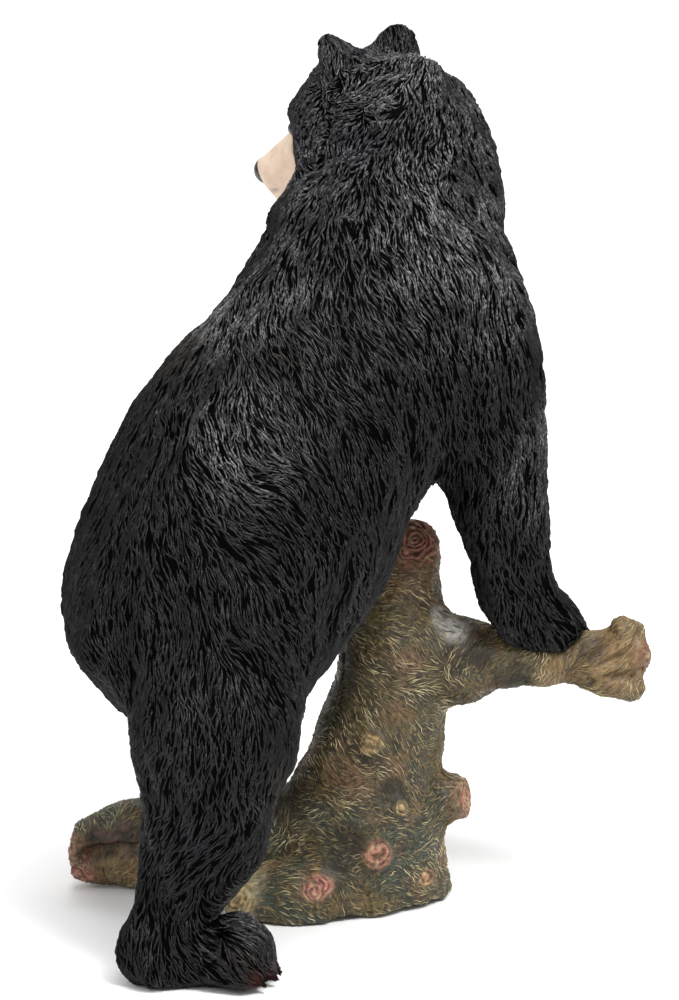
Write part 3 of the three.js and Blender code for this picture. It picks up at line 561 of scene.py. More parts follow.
class Shader:
    """Adds nodes to a material and links them, so that a recipe reads from top to bottom."""

    def __init__(self, name):
        self.material = bpy.data.materials.new(name)
        self.material.use_nodes = True
        self.tree = self.material.node_tree
        self.surface = self.tree.nodes["Principled BSDF"]
        self.place = self.node("ShaderNodeTexCoord").outputs["Object"]

    def node(self, kind, **settings):
        made = self.tree.nodes.new(kind)
        for name, value in settings.items():
            setattr(made, name, value)
        return made

    def feed(self, value, socket):
        if isinstance(value, bpy.types.NodeSocket):
            self.tree.links.new(value, socket)
        elif socket.type == "RGBA" and len(value) == 3:
            socket.default_value = (*value, 1)
        else:
            socket.default_value = value

    def painted(self, name):
        return self.node("ShaderNodeAttribute", attribute_name=name).outputs["Fac"]

    def noise(self, size, detail=2, shift=0.0):
        """Smooth noise from 0 to 1, with lumps of about this size in millimetres."""
        mapping = self.node("ShaderNodeMapping")
        self.feed(self.place, mapping.inputs["Vector"])
        mapping.inputs["Location"].default_value = (shift, shift, shift)
        made = self.node("ShaderNodeTexNoise")
        self.feed(mapping.outputs["Vector"], made.inputs["Vector"])
        made.inputs["Scale"].default_value = 1000 / size
        made.inputs["Detail"].default_value = detail
        return made.outputs["Fac"]

    def range(self, value, low, high, to_low=0.0, to_high=1.0):
        made = self.node("ShaderNodeMapRange")
        self.feed(value, made.inputs["Value"])
        for name, bound in (("From Min", low), ("From Max", high), ("To Min", to_low), ("To Max", to_high)):
            made.inputs[name].default_value = bound
        return made.outputs["Result"]

    def math(self, operation, a, b):
        made = self.node("ShaderNodeMath", operation=operation, use_clamp=True)
        self.feed(a, made.inputs[0])
        self.feed(b, made.inputs[1])
        return made.outputs[0]

    def mix(self, share, a, b):
        made = self.node("ShaderNodeMix", data_type="RGBA")
        self.feed(share, made.inputs["Factor"])
        self.feed(a, made.inputs[6])
        self.feed(b, made.inputs[7])
        return made.outputs[2]

    def bump(self, height, depth):
        """Shades the surface as if the height, from 0 to 1, stood this many millimetres deep."""
        made = self.node("ShaderNodeBump")
        self.feed(height, made.inputs["Height"])
        made.inputs["Distance"].default_value = depth * MM
        self.feed(made.outputs["Normal"], self.surface.inputs["Normal"])

    def finish(self, colour, roughness, specular=0.5):
        self.feed(colour, self.surface.inputs["Base Color"])
        self.feed(roughness, self.surface.inputs["Roughness"])
        self.feed(specular, self.surface.inputs["Specular IOR Level"])
        return self.material


def washed_toes(s, size, colour):
    """The reddish wash of the toes over a colour."""
    pad = s.math("MULTIPLY", s.painted("pad"), s.range(s.noise(4, 2), 0.35, 0.6, 0.3, 1.0))
    return s.mix(pad, colour, size.pad_colour)


def skin_material(size):
    """The skin between the hairs, painted nearly black as shade between them, and the bare muzzle and toes,
    with painted shade in the muzzle's folds.
    """
    s = Shader("skin")
    muzzle = s.mix(s.range(s.noise(5, 3), 0.35, 0.65), size.muzzle_colour, size.muzzle_shade)
    # Painted shade: the muzzle is darkened in its folds and along the mouth
    muzzle = s.mix(s.painted("fold_shade"), muzzle, (0.06, 0.035, 0.025))
    colour = s.mix(s.painted("bare"), size.skin_colour, muzzle)
    colour = washed_toes(s, size, colour)
    s.bump(s.noise(0.5, 2), 0.05)
    return s.finish(colour, 0.6, s.range(s.painted("bare"), 0, 1, 0.02, 0.25))


def hair_material(size):
    """The hair: nearly black at its foot as painted shade between the hairs, tinted in places, with grey over
    some of its crests that is partly dry-brushed paint and partly painted highlight.
    """
    s = Shader("hair")
    crest, tone = s.painted("crest"), s.painted("tone")
    # Grey on the crests: partly dry-brushed paint, partly painted highlight (glints)
    brushed = s.math("MULTIPLY", s.range(crest, 0.45, 0.95), s.range(tone, 0.2, 1.0, 0.15, 1.0))
    brushed = s.math("MULTIPLY", brushed, s.range(s.painted("brush_and_glint"), 0, 1, 0.1, 1.0))
    brushed = s.math("MULTIPLY", brushed, s.range(s.noise(16, 3), 0.38, 0.64, 0.35, 1.0))
    brushed = s.math("MULTIPLY", brushed, s.range(s.noise(0.8, 2), 0.42, 0.6, 0.15, 1.0))
    # Painted shade: the hair's foot is far darker than its crest
    dark_and_shade = s.mix(s.range(crest, 0.1, 0.8), (0.0003, 0.0003, 0.0003), size.coat_colour)
    brown = s.math("MULTIPLY", s.painted("brown"), s.range(tone, 0.4, 0.8))
    dark_and_shade = s.mix(s.math("MULTIPLY", brown, s.range(crest, 0.3, 0.9)), dark_and_shade, size.brown_tint)
    blue = s.math("MULTIPLY", s.painted("blue"), s.range(tone, 0.2, 0.7))
    dark_and_shade = s.mix(s.math("MULTIPLY", blue, s.range(crest, 0.3, 0.9)), dark_and_shade, size.blue_tint)
    colour = s.mix(brushed, dark_and_shade, size.crest_brush_and_glint_colour)
    colour = washed_toes(s, size, colour)
    s.bump(s.noise(0.5, 2), 0.1)
    roughness = s.range(s.noise(1.2, 2), 0.35, 0.65, 0.24, 0.5)
    return s.finish(colour, roughness, s.range(crest, 0.3, 1.0, 0.03, 0.24))


def plain_material(name, colour, roughness, coat=0.0):
    s = Shader(name)
    s.surface.inputs["Coat Weight"].default_value = coat
    return s.finish(colour, roughness)


def bark_under(s, size):
    """The paint of the bark under its pale strokes: mottled, greener near the ground, darker at random, with
    painted shade in the shaded places and in the hollow root.
    """
    under = s.mix(s.range(s.noise(9, 5), 0.42, 0.6), size.bark_colour, size.bark_shade)
    cool = s.math("MULTIPLY", s.range(s.painted("low"), 0, 1, 0.3, 1.0), s.range(s.noise(15, 3), 0.4, 0.58))
    under = s.mix(cool, under, size.moss_colour)
    under = s.mix(s.range(s.noise(13, 2, shift=7), 0.52, 0.66, 0, 0.7), under, size.warm_colour)
    under = s.mix(s.range(s.noise(1.3, 4), 0.52, 0.34, 0.0, 0.75), under, size.dark_paint_and_shade_colour)
    cream = s.math("MULTIPLY", s.painted("cream"), s.range(s.noise(2, 3), 0.35, 0.6, 0.3, 0.9))
    under = s.mix(cream, under, size.cream_colour)
    warm = s.math("MULTIPLY", s.painted("warm"), s.range(s.noise(4, 3), 0.3, 0.6, 0.45, 1.0))
    under = s.mix(warm, under, size.tan_colour)
    # Painted shade, with some dark paint, in the shaded places
    dark_and_shade = s.math("MULTIPLY", s.painted("dark_and_shade"), s.range(s.noise(4, 3), 0.3, 0.6, 0.5, 1.0))
    under = s.mix(s.math("MULTIPLY", dark_and_shade, 0.9), under, size.dark_paint_and_shade_colour)
    # Painted shade inside the hollow root: reddish brown mottled with the dark shade colour
    hollow = s.mix(s.range(s.noise(3, 3), 0.4, 0.62), size.dark_paint_and_shade_colour, size.hollow_shade_colour)
    under = s.mix(s.painted("hollow"), under, hollow)
    # The second value marks the painted shade, where fewer golden specks and cream strokes go
    return under, s.math("MAXIMUM", dark_and_shade, s.painted("hollow"))


def sawn_wood(s, size, colour):
    """Rings of pink and red, or gold where the knot isn't red, over the bark's colour."""
    red = s.mix(s.range(s.painted("ring"), 0.2, 0.8), size.ring_colour, size.sawn_colour)
    gold = s.mix(s.range(s.painted("ring"), 0.2, 0.8, 0.35, 1.0), size.bark_shade, size.gold_colour)
    wood = s.mix(s.painted("red"), gold, red)
    wood = s.mix(s.range(s.noise(1.6, 3), 0.5, 0.7, 0, 0.5), wood, size.hatch_colour)
    wood = s.mix(s.range(s.noise(2.2, 3, shift=9), 0.5, 0.34, 0, 0.6), wood, size.bark_shade)
    worn = s.math("MULTIPLY", s.painted("sawn"), s.range(s.noise(3, 3), 0.3, 0.52, 0.35, 0.95))
    return s.mix(worn, colour, wood)


def bark_material(size):
    """The bark between its thin ridges, with golden specks, sawn faces, painted shade in its furrows and
    painted highlight on its rims.
    """
    s = Shader("bark")
    under, dark_and_shade = bark_under(s, size)
    # Painted shade: darker towards the bottom of the furrows
    under = s.mix(s.range(s.painted("ridge"), 0.5, 0.1, 0.0, 0.6), under, size.dark_paint_and_shade_colour)
    speck = s.math("MULTIPLY", s.range(s.noise(0.9, 3, shift=3), 0.56, 0.7), s.range(dark_and_shade, 0, 1, 0.55, 0.1))
    colour = s.mix(speck, under, size.gold_colour)
    # Painted highlight: grey white where light falls on the rims and the saddle
    pale = s.math("MULTIPLY", s.painted("pale"), s.range(s.noise(1.5, 3), 0.3, 0.6, 0.4, 1.0))
    colour = sawn_wood(s, size, s.mix(pale, colour, size.rim_highlight_colour))
    s.bump(s.noise(0.8, 3), 0.12)
    return s.finish(colour, 0.55, 0.35)


def scratch_material(size):
    """The thin ridges of the bark, with cream brushed over their crests."""
    s = Shader("scratches")
    under, dark_and_shade = bark_under(s, size)
    brushed = s.math("MULTIPLY", s.range(s.painted("crest"), 0.2, 0.75), s.range(s.painted("tone"), 0.0, 0.6))
    brushed = s.math("MULTIPLY", brushed, s.range(dark_and_shade, 0, 1, 1.0, 0.12))
    brushed = s.math("MULTIPLY", brushed, s.range(s.noise(9, 3), 0.36, 0.58, 0.35, 1.0))
    brush = s.mix(s.range(s.noise(12, 2, shift=5), 0.42, 0.58), size.hatch_colour, size.gold_colour)
    colour = s.mix(brushed, under, brush)
    return s.finish(sawn_wood(s, size, colour), 0.5, 0.35)


# The pieces

def soft_ball(points, centre, reach):
    """1 at the centre, fading to 0 at the reach in millimetres."""
    apart = np.linalg.norm(points - np.array(at(*centre)), axis=1) / (reach * MM)
    return 1 - smoothstep(0.35, 1.0, apart)


BROWN_PLACES = [((-5, -5, 240), 12), ((-24, -2, 217), 18), ((2, 8, 218), 12), ((10, 45, 175), 22),
                ((-20, 40, 172), 18), ((-46, 60, 60), 14), ((-45, 72, 14), 16)]
BRUSH_AND_GLINT_PLACES = [((0, -15, 235), 50), ((-30, -15, 205), 45), ((0, 30, 190), 30), ((-30, 60, 160), 26),
                 ((-45, -40, 140), 24), ((-25, 60, 12), 22)]  # where more grey goes on the crests: dry-brushed paint and painted highlight (glints)
BLUE_PLACES = [((21, -3, 224), 12), ((-3, -3, 233), 12), ((15, -20, 257), 10), ((-40, 88, 44), 16)]


def head_masks(points):
    """How bare the muzzle is at each point: 1 on the muzzle, 0 in the coat."""
    h = local(points, HEAD)
    line = h[:, 0] - 0.32 * (h[:, 2] + 6) - 0.05 * h[:, 1] ** 2
    off = line_distance(h, SNOUT)[0]
    return smoothstep(14.5, 16.5, line) * (1 - smoothstep(15.2, 16.8, off))


def toe_places(toes):
    """The tip of each toe, in the paw's own frame."""
    for i in range(TOE_COUNT):
        side = (i - (TOE_COUNT - 1) / 2) / ((TOE_COUNT - 1) / 2)
        yield Vector((toes["reach"] - 4 * side * side, side * toes["spread"], toes["height"]))


def paws():
    """Each paw's matrix and its toes."""
    for place, way in HIND_FEET:
        yield frame_matrix(place, way), HIND_TOES
    for place, way in FRONT_PAWS:
        yield frame_matrix(place, way), FRONT_TOES


def near_toes(points, ahead, low, high):
    """1 close to a place ahead of a toe's tip, fading to 0 between two distances in millimetres."""
    near = np.zeros(len(points))
    for matrix, toes in paws():
        own = local(points, matrix)
        for toe in toe_places(toes):
            apart = np.linalg.norm(own - np.array(toe) - ahead, axis=1)
            near = np.maximum(near, 1 - smoothstep(low, high, apart))
    return near


def claw(matrix, toe, radius, material):
    """One bent claw, made from a cone whose tip is drawn forward and down."""
    bpy.ops.mesh.primitive_cone_add(vertices=14, radius1=CLAW_RADII[0], radius2=CLAW_RADII[1],
                                    depth=CLAW_LENGTH, end_fill_type="NGON")
    made = bpy.context.object
    only(made)
    bpy.ops.object.mode_set(mode="EDIT")
    bpy.ops.mesh.select_all(action="SELECT")
    bpy.ops.mesh.subdivide(number_cuts=2)
    bpy.ops.object.mode_set(mode="OBJECT")
    co = points_of(made.data)
    share = co[:, 2] / CLAW_LENGTH + 0.5
    bent = np.stack([toe.x + radius - 2.6 + share * CLAW_LENGTH, toe.y + co[:, 1] * 0.8,
                     toe.z + 0.6 + co[:, 0] - 2.2 * share ** 2], axis=1)
    set_points(made.data, placed(bent, matrix))
    face_outward(made)
    bpy.ops.object.shade_smooth()
    made.data.materials.append(material)
    return made


def ball(matrix, centre, size, material):
    """A smooth ball, stretched to its size in the part's own frame."""
    bpy.ops.mesh.primitive_uv_sphere_add(segments=24, ring_count=16, radius=1)
    made = bpy.context.object
    made.data.transform(matrix @ Matrix.Translation(centre) @ Matrix.Diagonal((*size, 1)))
    only(made)
    bpy.ops.object.shade_smooth()
    made.data.materials.append(material)
    return made


def join(piece, parts):
    bpy.ops.object.select_all(action="DESELECT")
    for part in parts:
        part.select_set(True)
    piece.select_set(True)
    bpy.context.view_layer.objects.active = piece
    bpy.ops.object.join()


def pressed(places, line, reach, deep):
    """How deep a crease along the line presses each place in, fading to 0 at its reach."""
    return deep * (1 - smoothstep(0, reach, line_distance(places, line)[0]))


def creases(points):
    """How deep each point of the bear is pressed in, in millimetres: folds, mouth and between the toes."""
    place = sculpt(points)
    depth = np.zeros(len(points))
    for line, reach, deep in CREASES:
        depth = np.maximum(depth, pressed(place, line, reach, deep))
    h = local(points, HEAD)
    for side in (-1, 1):
        line = [(x, side * y, z) for x, y, z in MOUTH]
        depth = np.maximum(depth, pressed(h, line, MOUTH_REACH, MOUTH_DEPTH))
    for matrix, toes in paws():
        own = local(points, matrix)
        tips = list(toe_places(toes))
        for one, other in zip(tips[:-1], tips[1:]):
            middle = (one + other) / 2
            line = [middle + Vector(step) for step in TOE_FOLD]
            depth = np.maximum(depth, pressed(own, line, TOE_FOLD_REACH, TOE_FOLD_DEPTH))
    return depth


# The ears' middles in the head's own frame, and how much thicker, wider and higher they are made
EARS = [((-6, 10.4, 13.5), (0.4, 0.12, 0.0)), ((-6, -13.2, 13.5), (0.1, -0.12, 0.2))]


def grow_ears(points):
    """Makes the ears thicker and rounder."""
    h = local(points, HEAD)
    for ear, growth in EARS:
        away = h - np.array(ear)
        share = (1 - smoothstep(8, 15, np.linalg.norm(away, axis=1))) * smoothstep(-8, -1, away[:, 2])
        h = h + away * np.array(growth) * share[:, None]
    return placed(h, HEAD)


def swell(mesh, places):
    """Moves the skin out or in around each place."""
    points, normals = points_of(mesh), normals_of(mesh)
    amount = sum(millimetres * soft_ball(points, place, reach) for place, reach, millimetres in places)
    set_points(mesh, points + normals * (amount * MM)[:, None])


def tints(mesh):
    """Stores where the coat is tinted, where its crests take more grey as dry brush and painted highlight, and
    where the toes are bare.
    """
    points = points_of(mesh)
    for name, places in (("brown", BROWN_PLACES), ("blue", BLUE_PLACES), ("brush_and_glint", BRUSH_AND_GLINT_PLACES)):
        paint(mesh, name, np.max([soft_ball(points, place, reach) for place, reach in places], axis=0))
    paint(mesh, "pad", near_toes(points, (3.5, 0, -1), 2, 5))


SHAGGY_PLACE = ((0, -15, 232), 48)  # crown and nape, where the hair is short, thick and unruly
HEAD_MIDDLE = (2, 0, 0)  # the hair is finer round this place, in the head's own frame
ROOT_CHOICE = 0.66  # roots are picked this much closer than the hair's spacing, and then thinned out


def carve_coat(piece, size, rng):
    """Cuts the folds and the locks into the skin, and lays the hair on it as pieces of their own."""
    mesh = piece.data
    set_points(mesh, grow_ears(points_of(mesh)))
    swell(mesh, BEAR_SWELLS)
    folds = creases(points_of(mesh))
    set_points(mesh, points_of(mesh) - normals_of(mesh) * (folds * MM)[:, None])
    points, normals = points_of(mesh), normals_of(mesh)
    bare = head_masks(points)
    way = flow_at(points, COAT_FLOW)
    shaggy = soft_ball(points, *SHAGGY_PLACE)
    stray = (size.waviness * (1 + 0.9 * shaggy))[:, None]
    way = unit(way + stray * (wobble(points, 0.015, 3) + 0.7 * wobble(points, 0.006, 4)))
    way = unit(way - normals * np.sum(way * normals, axis=1)[:, None])
    tree = tree_of(points)
    roots = even_roots(points, size.lock_width * 1.5, rng)
    lock = carve_strokes(tree, points, normals, roots[bare[roots] < 0.5], way, size.lock_width * 4.5,
                         size.lock_width, 0.5, rng)
    skin = points - normals * ((size.skin_depth + (1 - lock) * size.lock_depth) * (1 - bare))[:, None]

    h = local(points, HEAD)
    fine = 1 - 0.36 * (1 - smoothstep(24, 34, np.linalg.norm(h - HEAD_MIDDLE, axis=1)))
    short = (1 - 0.4 * shaggy) * fine
    spacing = size.hair_spacing * 1.0
    roots = even_roots(points, ROOT_CHOICE * spacing, rng)
    wanted = (ROOT_CHOICE / fine[roots]) ** 2 * (1 + 0.45 * shaggy[roots])
    pads = near_toes(points[roots], (2, 0, 0), 3, 6)
    roots = roots[(rng.random(len(roots)) < wanted) & (bare[roots] < 0.35) & (pads < 0.5)]
    roots = roots[np.argsort(-points[roots, 2], kind="stable")]
    pieces = []
    for number, part in enumerate(np.array_split(roots, size.hair_pieces)):
        varied = rng.uniform(0.6, 1.3, len(part)) * short[part]
        tall = size.hair_height * rng.uniform(0.5, 1.2, len(part)) * (0.8 + 0.5 * shaggy[part]) * fine[part]
        hair = strands(f"hair_{number + 1}", tree, skin, normals, part, way, size.hair_length * varied,
                       size.hair_width * fine[part] * rng.uniform(0.7, 1.25, len(part)), tall, 0.9,
                       0.45 * MM, rng)
        tints(hair.data)
        pieces.append(hair)

    set_points(mesh, skin)
    paint(mesh, "bare", bare)
    # Painted shade: how dark the folds are painted
    paint(mesh, "fold_shade", np.clip(folds / 2, 0, 1))
    tints(mesh)
    return pieces


def make_bear(size):
    rng = np.random.default_rng(BEAR_SEED)
    piece = casting_copy("bear", "painted_bear")
    rough = 1.0
    refine(piece, size.skin_size * rough, 10)
    coat = carve_coat(piece, size, rng)
    thin(piece, size.triangles)
    piece.data.materials.append(skin_material(size))
    claws = plain_material("claw", size.claw_colour, 0.3)
    wet = plain_material("wet_black", (0.004, 0.004, 0.005), 0.12, 0.6)
    parts = []
    for matrix, toes in paws():
        for toe in toe_places(toes):
            parts.append(claw(matrix, toe, toes["radius"], claws))
    for eye in EYES:
        parts.append(ball(HEAD, eye, (2.1, 2.3, 2.3), wet))
    parts.append(ball(HEAD, NOSE, (3.7, 5.2, 4.4), wet))
    # Painted shade: matte near-black balls stand in for the hollows of the nostrils
    hollow = plain_material("nostril", (0.001, 0.001, 0.001), 0.9)
    for side in (-1, 1):
        nostril = Vector(NOSE) + Vector((2.4, side * 2.1, -0.2))
        parts.append(ball(HEAD, nostril, (1.1, 1.0, 1.3), hollow))
    join(piece, parts)
    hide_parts("bear")
    hair = hair_material(size)
    for lock in coat:
        lock.data.materials.append(hair)
    for made in [piece, *coat]:
        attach(made, "root")


def along_limbs(points):
    """The way that the nearest limb of the wood runs at each point."""
    place = sculpt(points)
    way, best = np.zeros((len(points), 3)), np.full(len(points), np.inf)
    for line, radius in WOOD_LIMBS:
        apart, along = line_distance(place, line)
        line = np.array(line, float)
        steps = np.concatenate([[0], np.cumsum(np.linalg.norm(np.diff(line, axis=0), axis=1))])
        closer = apart - radius < best
        stretch = np.clip(np.searchsorted(steps, along) - 1, 0, len(line) - 2)
        way[closer] = unit(np.diff(line, axis=0))[stretch][closer]
        best = np.minimum(best, apart - radius)
    return way


RING_WIDTH = 1.9  # from one ring of a sawn face to the next, in millimetres
LOW_BAND = (0.015, 0.06)  # the bark is greener below these heights, in metres


def bark_marks(mesh):
    """Stores where the bark is sawn, red and ringed, and where its paint is of another kind."""
    points = points_of(mesh)
    place = sculpt(points)
    sawn, red, ring = (np.zeros(len(points)) for _ in range(3))
    for centre, facing, radius, redness in SAWN_FACES:
        away = place - np.array(centre)
        axis = np.array(Vector(facing).normalized())
        deep = away @ axis
        off = np.linalg.norm(away - deep[:, None] * axis, axis=1)
        mask = 1 - smoothstep(0.5, 1.25, off / radius)
        mask = mask * (1 - smoothstep(0.4, 1.1, np.abs(deep) / (radius + 2)))
        wave = off + 1.1 * wobble(points, 0.003, 8)[:, 0]
        over = mask > sawn
        ring = np.where(over, 0.5 + 0.5 * np.cos(wave * 2 * math.pi / RING_WIDTH), ring)
        red = np.where(over, redness, red)
        sawn = np.maximum(sawn, mask)
    for centre, reach in BROKEN_ENDS:
        mask = 0.7 * soft_ball(points, centre, reach)
        red = np.where(mask > sawn, 0.8, red)
        sawn = np.maximum(sawn, mask)
    paint(mesh, "sawn", sawn)
    paint(mesh, "red", red)
    paint(mesh, "ring", ring)
    paint(mesh, "low", 1 - smoothstep(*LOW_BAND, points[:, 2]))
    for name, places in (("dark_and_shade", SHADE_AND_DARK_PLACES), ("pale", RIM_HIGHLIGHT_PLACES), ("cream", CREAM_PLACES),
                         ("hollow", HOLLOW_PLACES), ("warm", WARM_PLACES)):
        paint(mesh, name, np.max([soft_ball(points, spot, reach) for spot, reach in places], axis=0))
    return sawn, ring


def carve_bark(piece, size, rng):
    """Cuts knobs, pits, lumps, furrows and sawn rings into the wood, and lays the thin ridges on it."""
    mesh = piece.data
    swell(mesh, STUMP_SWELLS)
    points, normals = points_of(mesh), normals_of(mesh)
    sawn, ring = bark_marks(mesh)
    dent = 0.5 * sawn * (1 - ring)
    for centre, reach in KNOBS:
        dent -= 1.0 * soft_ball(points, centre, reach)
    for centre, reach, deep in PITS:
        dent += deep * soft_ball(points, centre, reach)
    for line, reach, deep in STUMP_CREASES:
        dent += pressed(sculpt(points), line, reach, deep)
    lumps = (0.5 * wobble(points, 0.009, 7)[:, 0] + 0.35 * wobble(points, 0.004, 9)[:, 0]
             + 0.2 * wobble(points, 0.0018, 10)[:, 0])
    dent += np.clip(0.6 - lumps, 0, 1.6) * size.lump_depth * (1 - sawn)
    set_points(mesh, points - normals * (dent * MM)[:, None])
    points, normals = points_of(mesh), normals_of(mesh)
    tree = tree_of(points)
    limb = along_limbs(points)
    round_limb = np.cross(normals, limb)
    slant = 0.9 * wobble(points, 0.014, 5)[:, :1] + 0.5 * wobble(points, 0.005, 6)[:, :1]
    way = unit(round_limb + limb * slant)
    coarse = 1.0
    roots = even_roots(points, size.furrow_spacing * coarse, rng)
    furrow = carve_strokes(tree, points, normals, roots, way, size.furrow_length,
                           size.furrow_width * coarse ** 0.5, 0.9, rng, steps=6)
    skin = points - normals * ((1 - furrow) * size.furrow_depth * (1 - sawn) * MM)[:, None]
    roots = even_roots(points, size.scratch_spacing * coarse, rng)
    hollow = np.max([soft_ball(points[roots], spot, reach) for spot, reach in HOLLOW_PLACES], axis=0)
    roots = roots[rng.random(len(roots)) < 1 - np.maximum(0.7 * sawn[roots], 1.2 * hollow)]
    count = len(roots)
    scratches = strands("bark_ridges", tree, skin, normals, roots, way,
                        size.scratch_length * rng.uniform(0.5, 1.4, count),
                        size.scratch_width * rng.uniform(0.7, 1.3, count),
                        size.scratch_height * rng.uniform(0.5, 1.2, count), 1.0, 0.1 * MM, rng)
    bark_marks(scratches.data)
    set_points(mesh, skin)
    paint(mesh, "ridge", furrow * (1 - sawn) + sawn)
    return scratches


def make_stump(size):
    rng = np.random.default_rng(STUMP_SEED)
    piece = casting_copy("stump", "painted_stump")
    rough = 1.0
    refine(piece, size.skin_size * rough, 8)
    scratches = carve_bark(piece, size, rng)
    thin(piece, size.triangles)
    piece.data.materials.append(bark_material(size))
    scratches.data.materials.append(scratch_material(size))
    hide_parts("stump")
    for made in (piece, scratches):
        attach(made, "root")


# Stage, lights and camera

VIEW_CENTRE = at(0, 0, 126.7)
VIEW_AZIMUTH, VIEW_ELEVATION, VIEW_DISTANCE = 230, 13.5, 1.5  # degrees, degrees and metres
LENS, SENSOR = 184.3, 36


def aim(thing, place, target):
    """Puts a lamp or camera at a place and turns it to the target."""
    thing.location = place
    thing.rotation_euler = (target - place).to_track_quat("-Z", "Y").to_euler()


def away_from(centre, azimuth, elevation, distance):
    """The place this far from the centre, the azimuth from -Y round to +X and both angles in degrees."""
    a, e = math.radians(azimuth), math.radians(elevation)
    return centre + distance * Vector((math.sin(a) * math.cos(e), -math.cos(a) * math.cos(e), math.sin(e)))


def lamp(name, azimuth, elevation, distance, size, power):
    data = bpy.data.lights.new(name, "AREA")
    data.size = size
    data.energy = power
    made = bpy.data.objects.new(name, data)
    bpy.context.scene.collection.objects.link(made)
    aim(made, away_from(VIEW_CENTRE, azimuth, elevation, distance), VIEW_CENTRE)


def make_stage(size):
    bpy.ops.object.select_all(action="DESELECT")
    bpy.ops.mesh.primitive_plane_add(size=14)
    floor = bpy.context.object
    floor.name = "floor"
    floor.data.materials.append(plain_material("paper", size.floor_colour, 0.9))
    world = bpy.data.worlds.new("room")
    world.use_nodes = True
    world.node_tree.nodes["Background"].inputs["Color"].default_value = (1, 1, 1, 1)
    world.node_tree.nodes["Background"].inputs["Strength"].default_value = size.room_light
    bpy.context.scene.world = world
    bpy.context.scene.view_settings.view_transform = "Standard"
    lamp("key", 262, 48, 1.5, 0.45, size.key_power)
    lamp("fill", 195, 35, 1.6, 0.8, size.key_power * 0.4)
    lamp("rim", 60, 45, 1.8, 0.8, size.key_power * 0.5)
    data = bpy.data.lights.new("daylight", "SUN")
    data.energy = size.daylight
    data.angle = math.radians(30)
    sun = bpy.data.objects.new("daylight", data)
    bpy.context.scene.collection.objects.link(sun)
    aim(sun, away_from(VIEW_CENTRE, 250, 65, 2.0), VIEW_CENTRE)


def make_camera():
    data = bpy.data.cameras.new("camera")
    data.sensor_width = SENSOR
    data.lens = LENS
    data.clip_end = 50
    camera = bpy.data.objects.new("camera", data)
    bpy.context.scene.collection.objects.link(camera)
    aim(camera, away_from(VIEW_CENTRE, VIEW_AZIMUTH, VIEW_ELEVATION, VIEW_DISTANCE), VIEW_CENTRE)
    bpy.context.scene.camera = camera


# Add-on

def colour(name, description, value):
    return FloatVectorProperty(name=name, description=description, default=value, subtype="COLOR",
                               min=0, max=1)


def size_of(name, description, value):
    return FloatProperty(name=name, description=description, default=value, unit="LENGTH", min=0, precision=5)


class BearSettings(bpy.types.PropertyGroup):
    skin_size: size_of("Skin detail", "Size of the cells that the skin is carved in", 0.48 * MM)
    skin_depth: size_of("Skin depth", "How far the skin lies under the solid's surface", 0.3 * MM)
    lock_width: size_of("Lock width", "Width of the locks that the hairs lie in", 3.6 * MM)
    lock_depth: size_of("Lock depth", "Depth of the grooves between the locks", 0.7 * MM)
    hair_length: size_of("Hair length", "Length of one carved hair", 6.8 * MM)
    hair_width: size_of("Hair width", "Width of one carved hair", 1.1 * MM)
    hair_height: size_of("Hair height", "Height of a hair's crest over the skin", 0.8 * MM)
    hair_spacing: size_of("Hair spacing", "How far apart the hairs begin", 1.79 * MM)
    hair_pieces: IntProperty(name="Hair pieces", description="Meshes that share the hair", default=4, min=1)
    waviness: FloatProperty(name="Waviness", description="How far the hair strays", default=0.26, min=0)
    triangles: IntProperty(name="Triangles", description="Triangles of the skin", default=95000, min=1000)
    # Painted shade: the skin between the hairs is painted about ten times darker than the coat
    skin_colour: colour("Skin", "Colour between the hairs", (0.0004, 0.0004, 0.0004))
    coat_colour: colour("Coat", "Colour of the coat", (0.004, 0.004, 0.0042))
    # Grey over the hairs' crests: partly dry-brushed paint, partly painted highlight (glints)
    crest_brush_and_glint_colour: colour("Dry brush", "Colour brushed over the hairs' crests", (0.32, 0.32, 0.33))
    brown_tint: colour("Brown tint", "Warm tint on the shoulders", (0.018, 0.012, 0.008))
    blue_tint: colour("Blue tint", "Cool tint on cheek and leg", (0.012, 0.011, 0.020))
    muzzle_colour: colour("Muzzle", "Colour of the muzzle", (0.76, 0.60, 0.47))
    muzzle_shade: colour("Muzzle shade", "Darker wash on the muzzle", (0.66, 0.48, 0.36))
    pad_colour: colour("Toes", "Reddish wash on the toes", (0.036, 0.014, 0.012))
    claw_colour: colour("Claws", "Colour of the claws", (0.06, 0.03, 0.025))


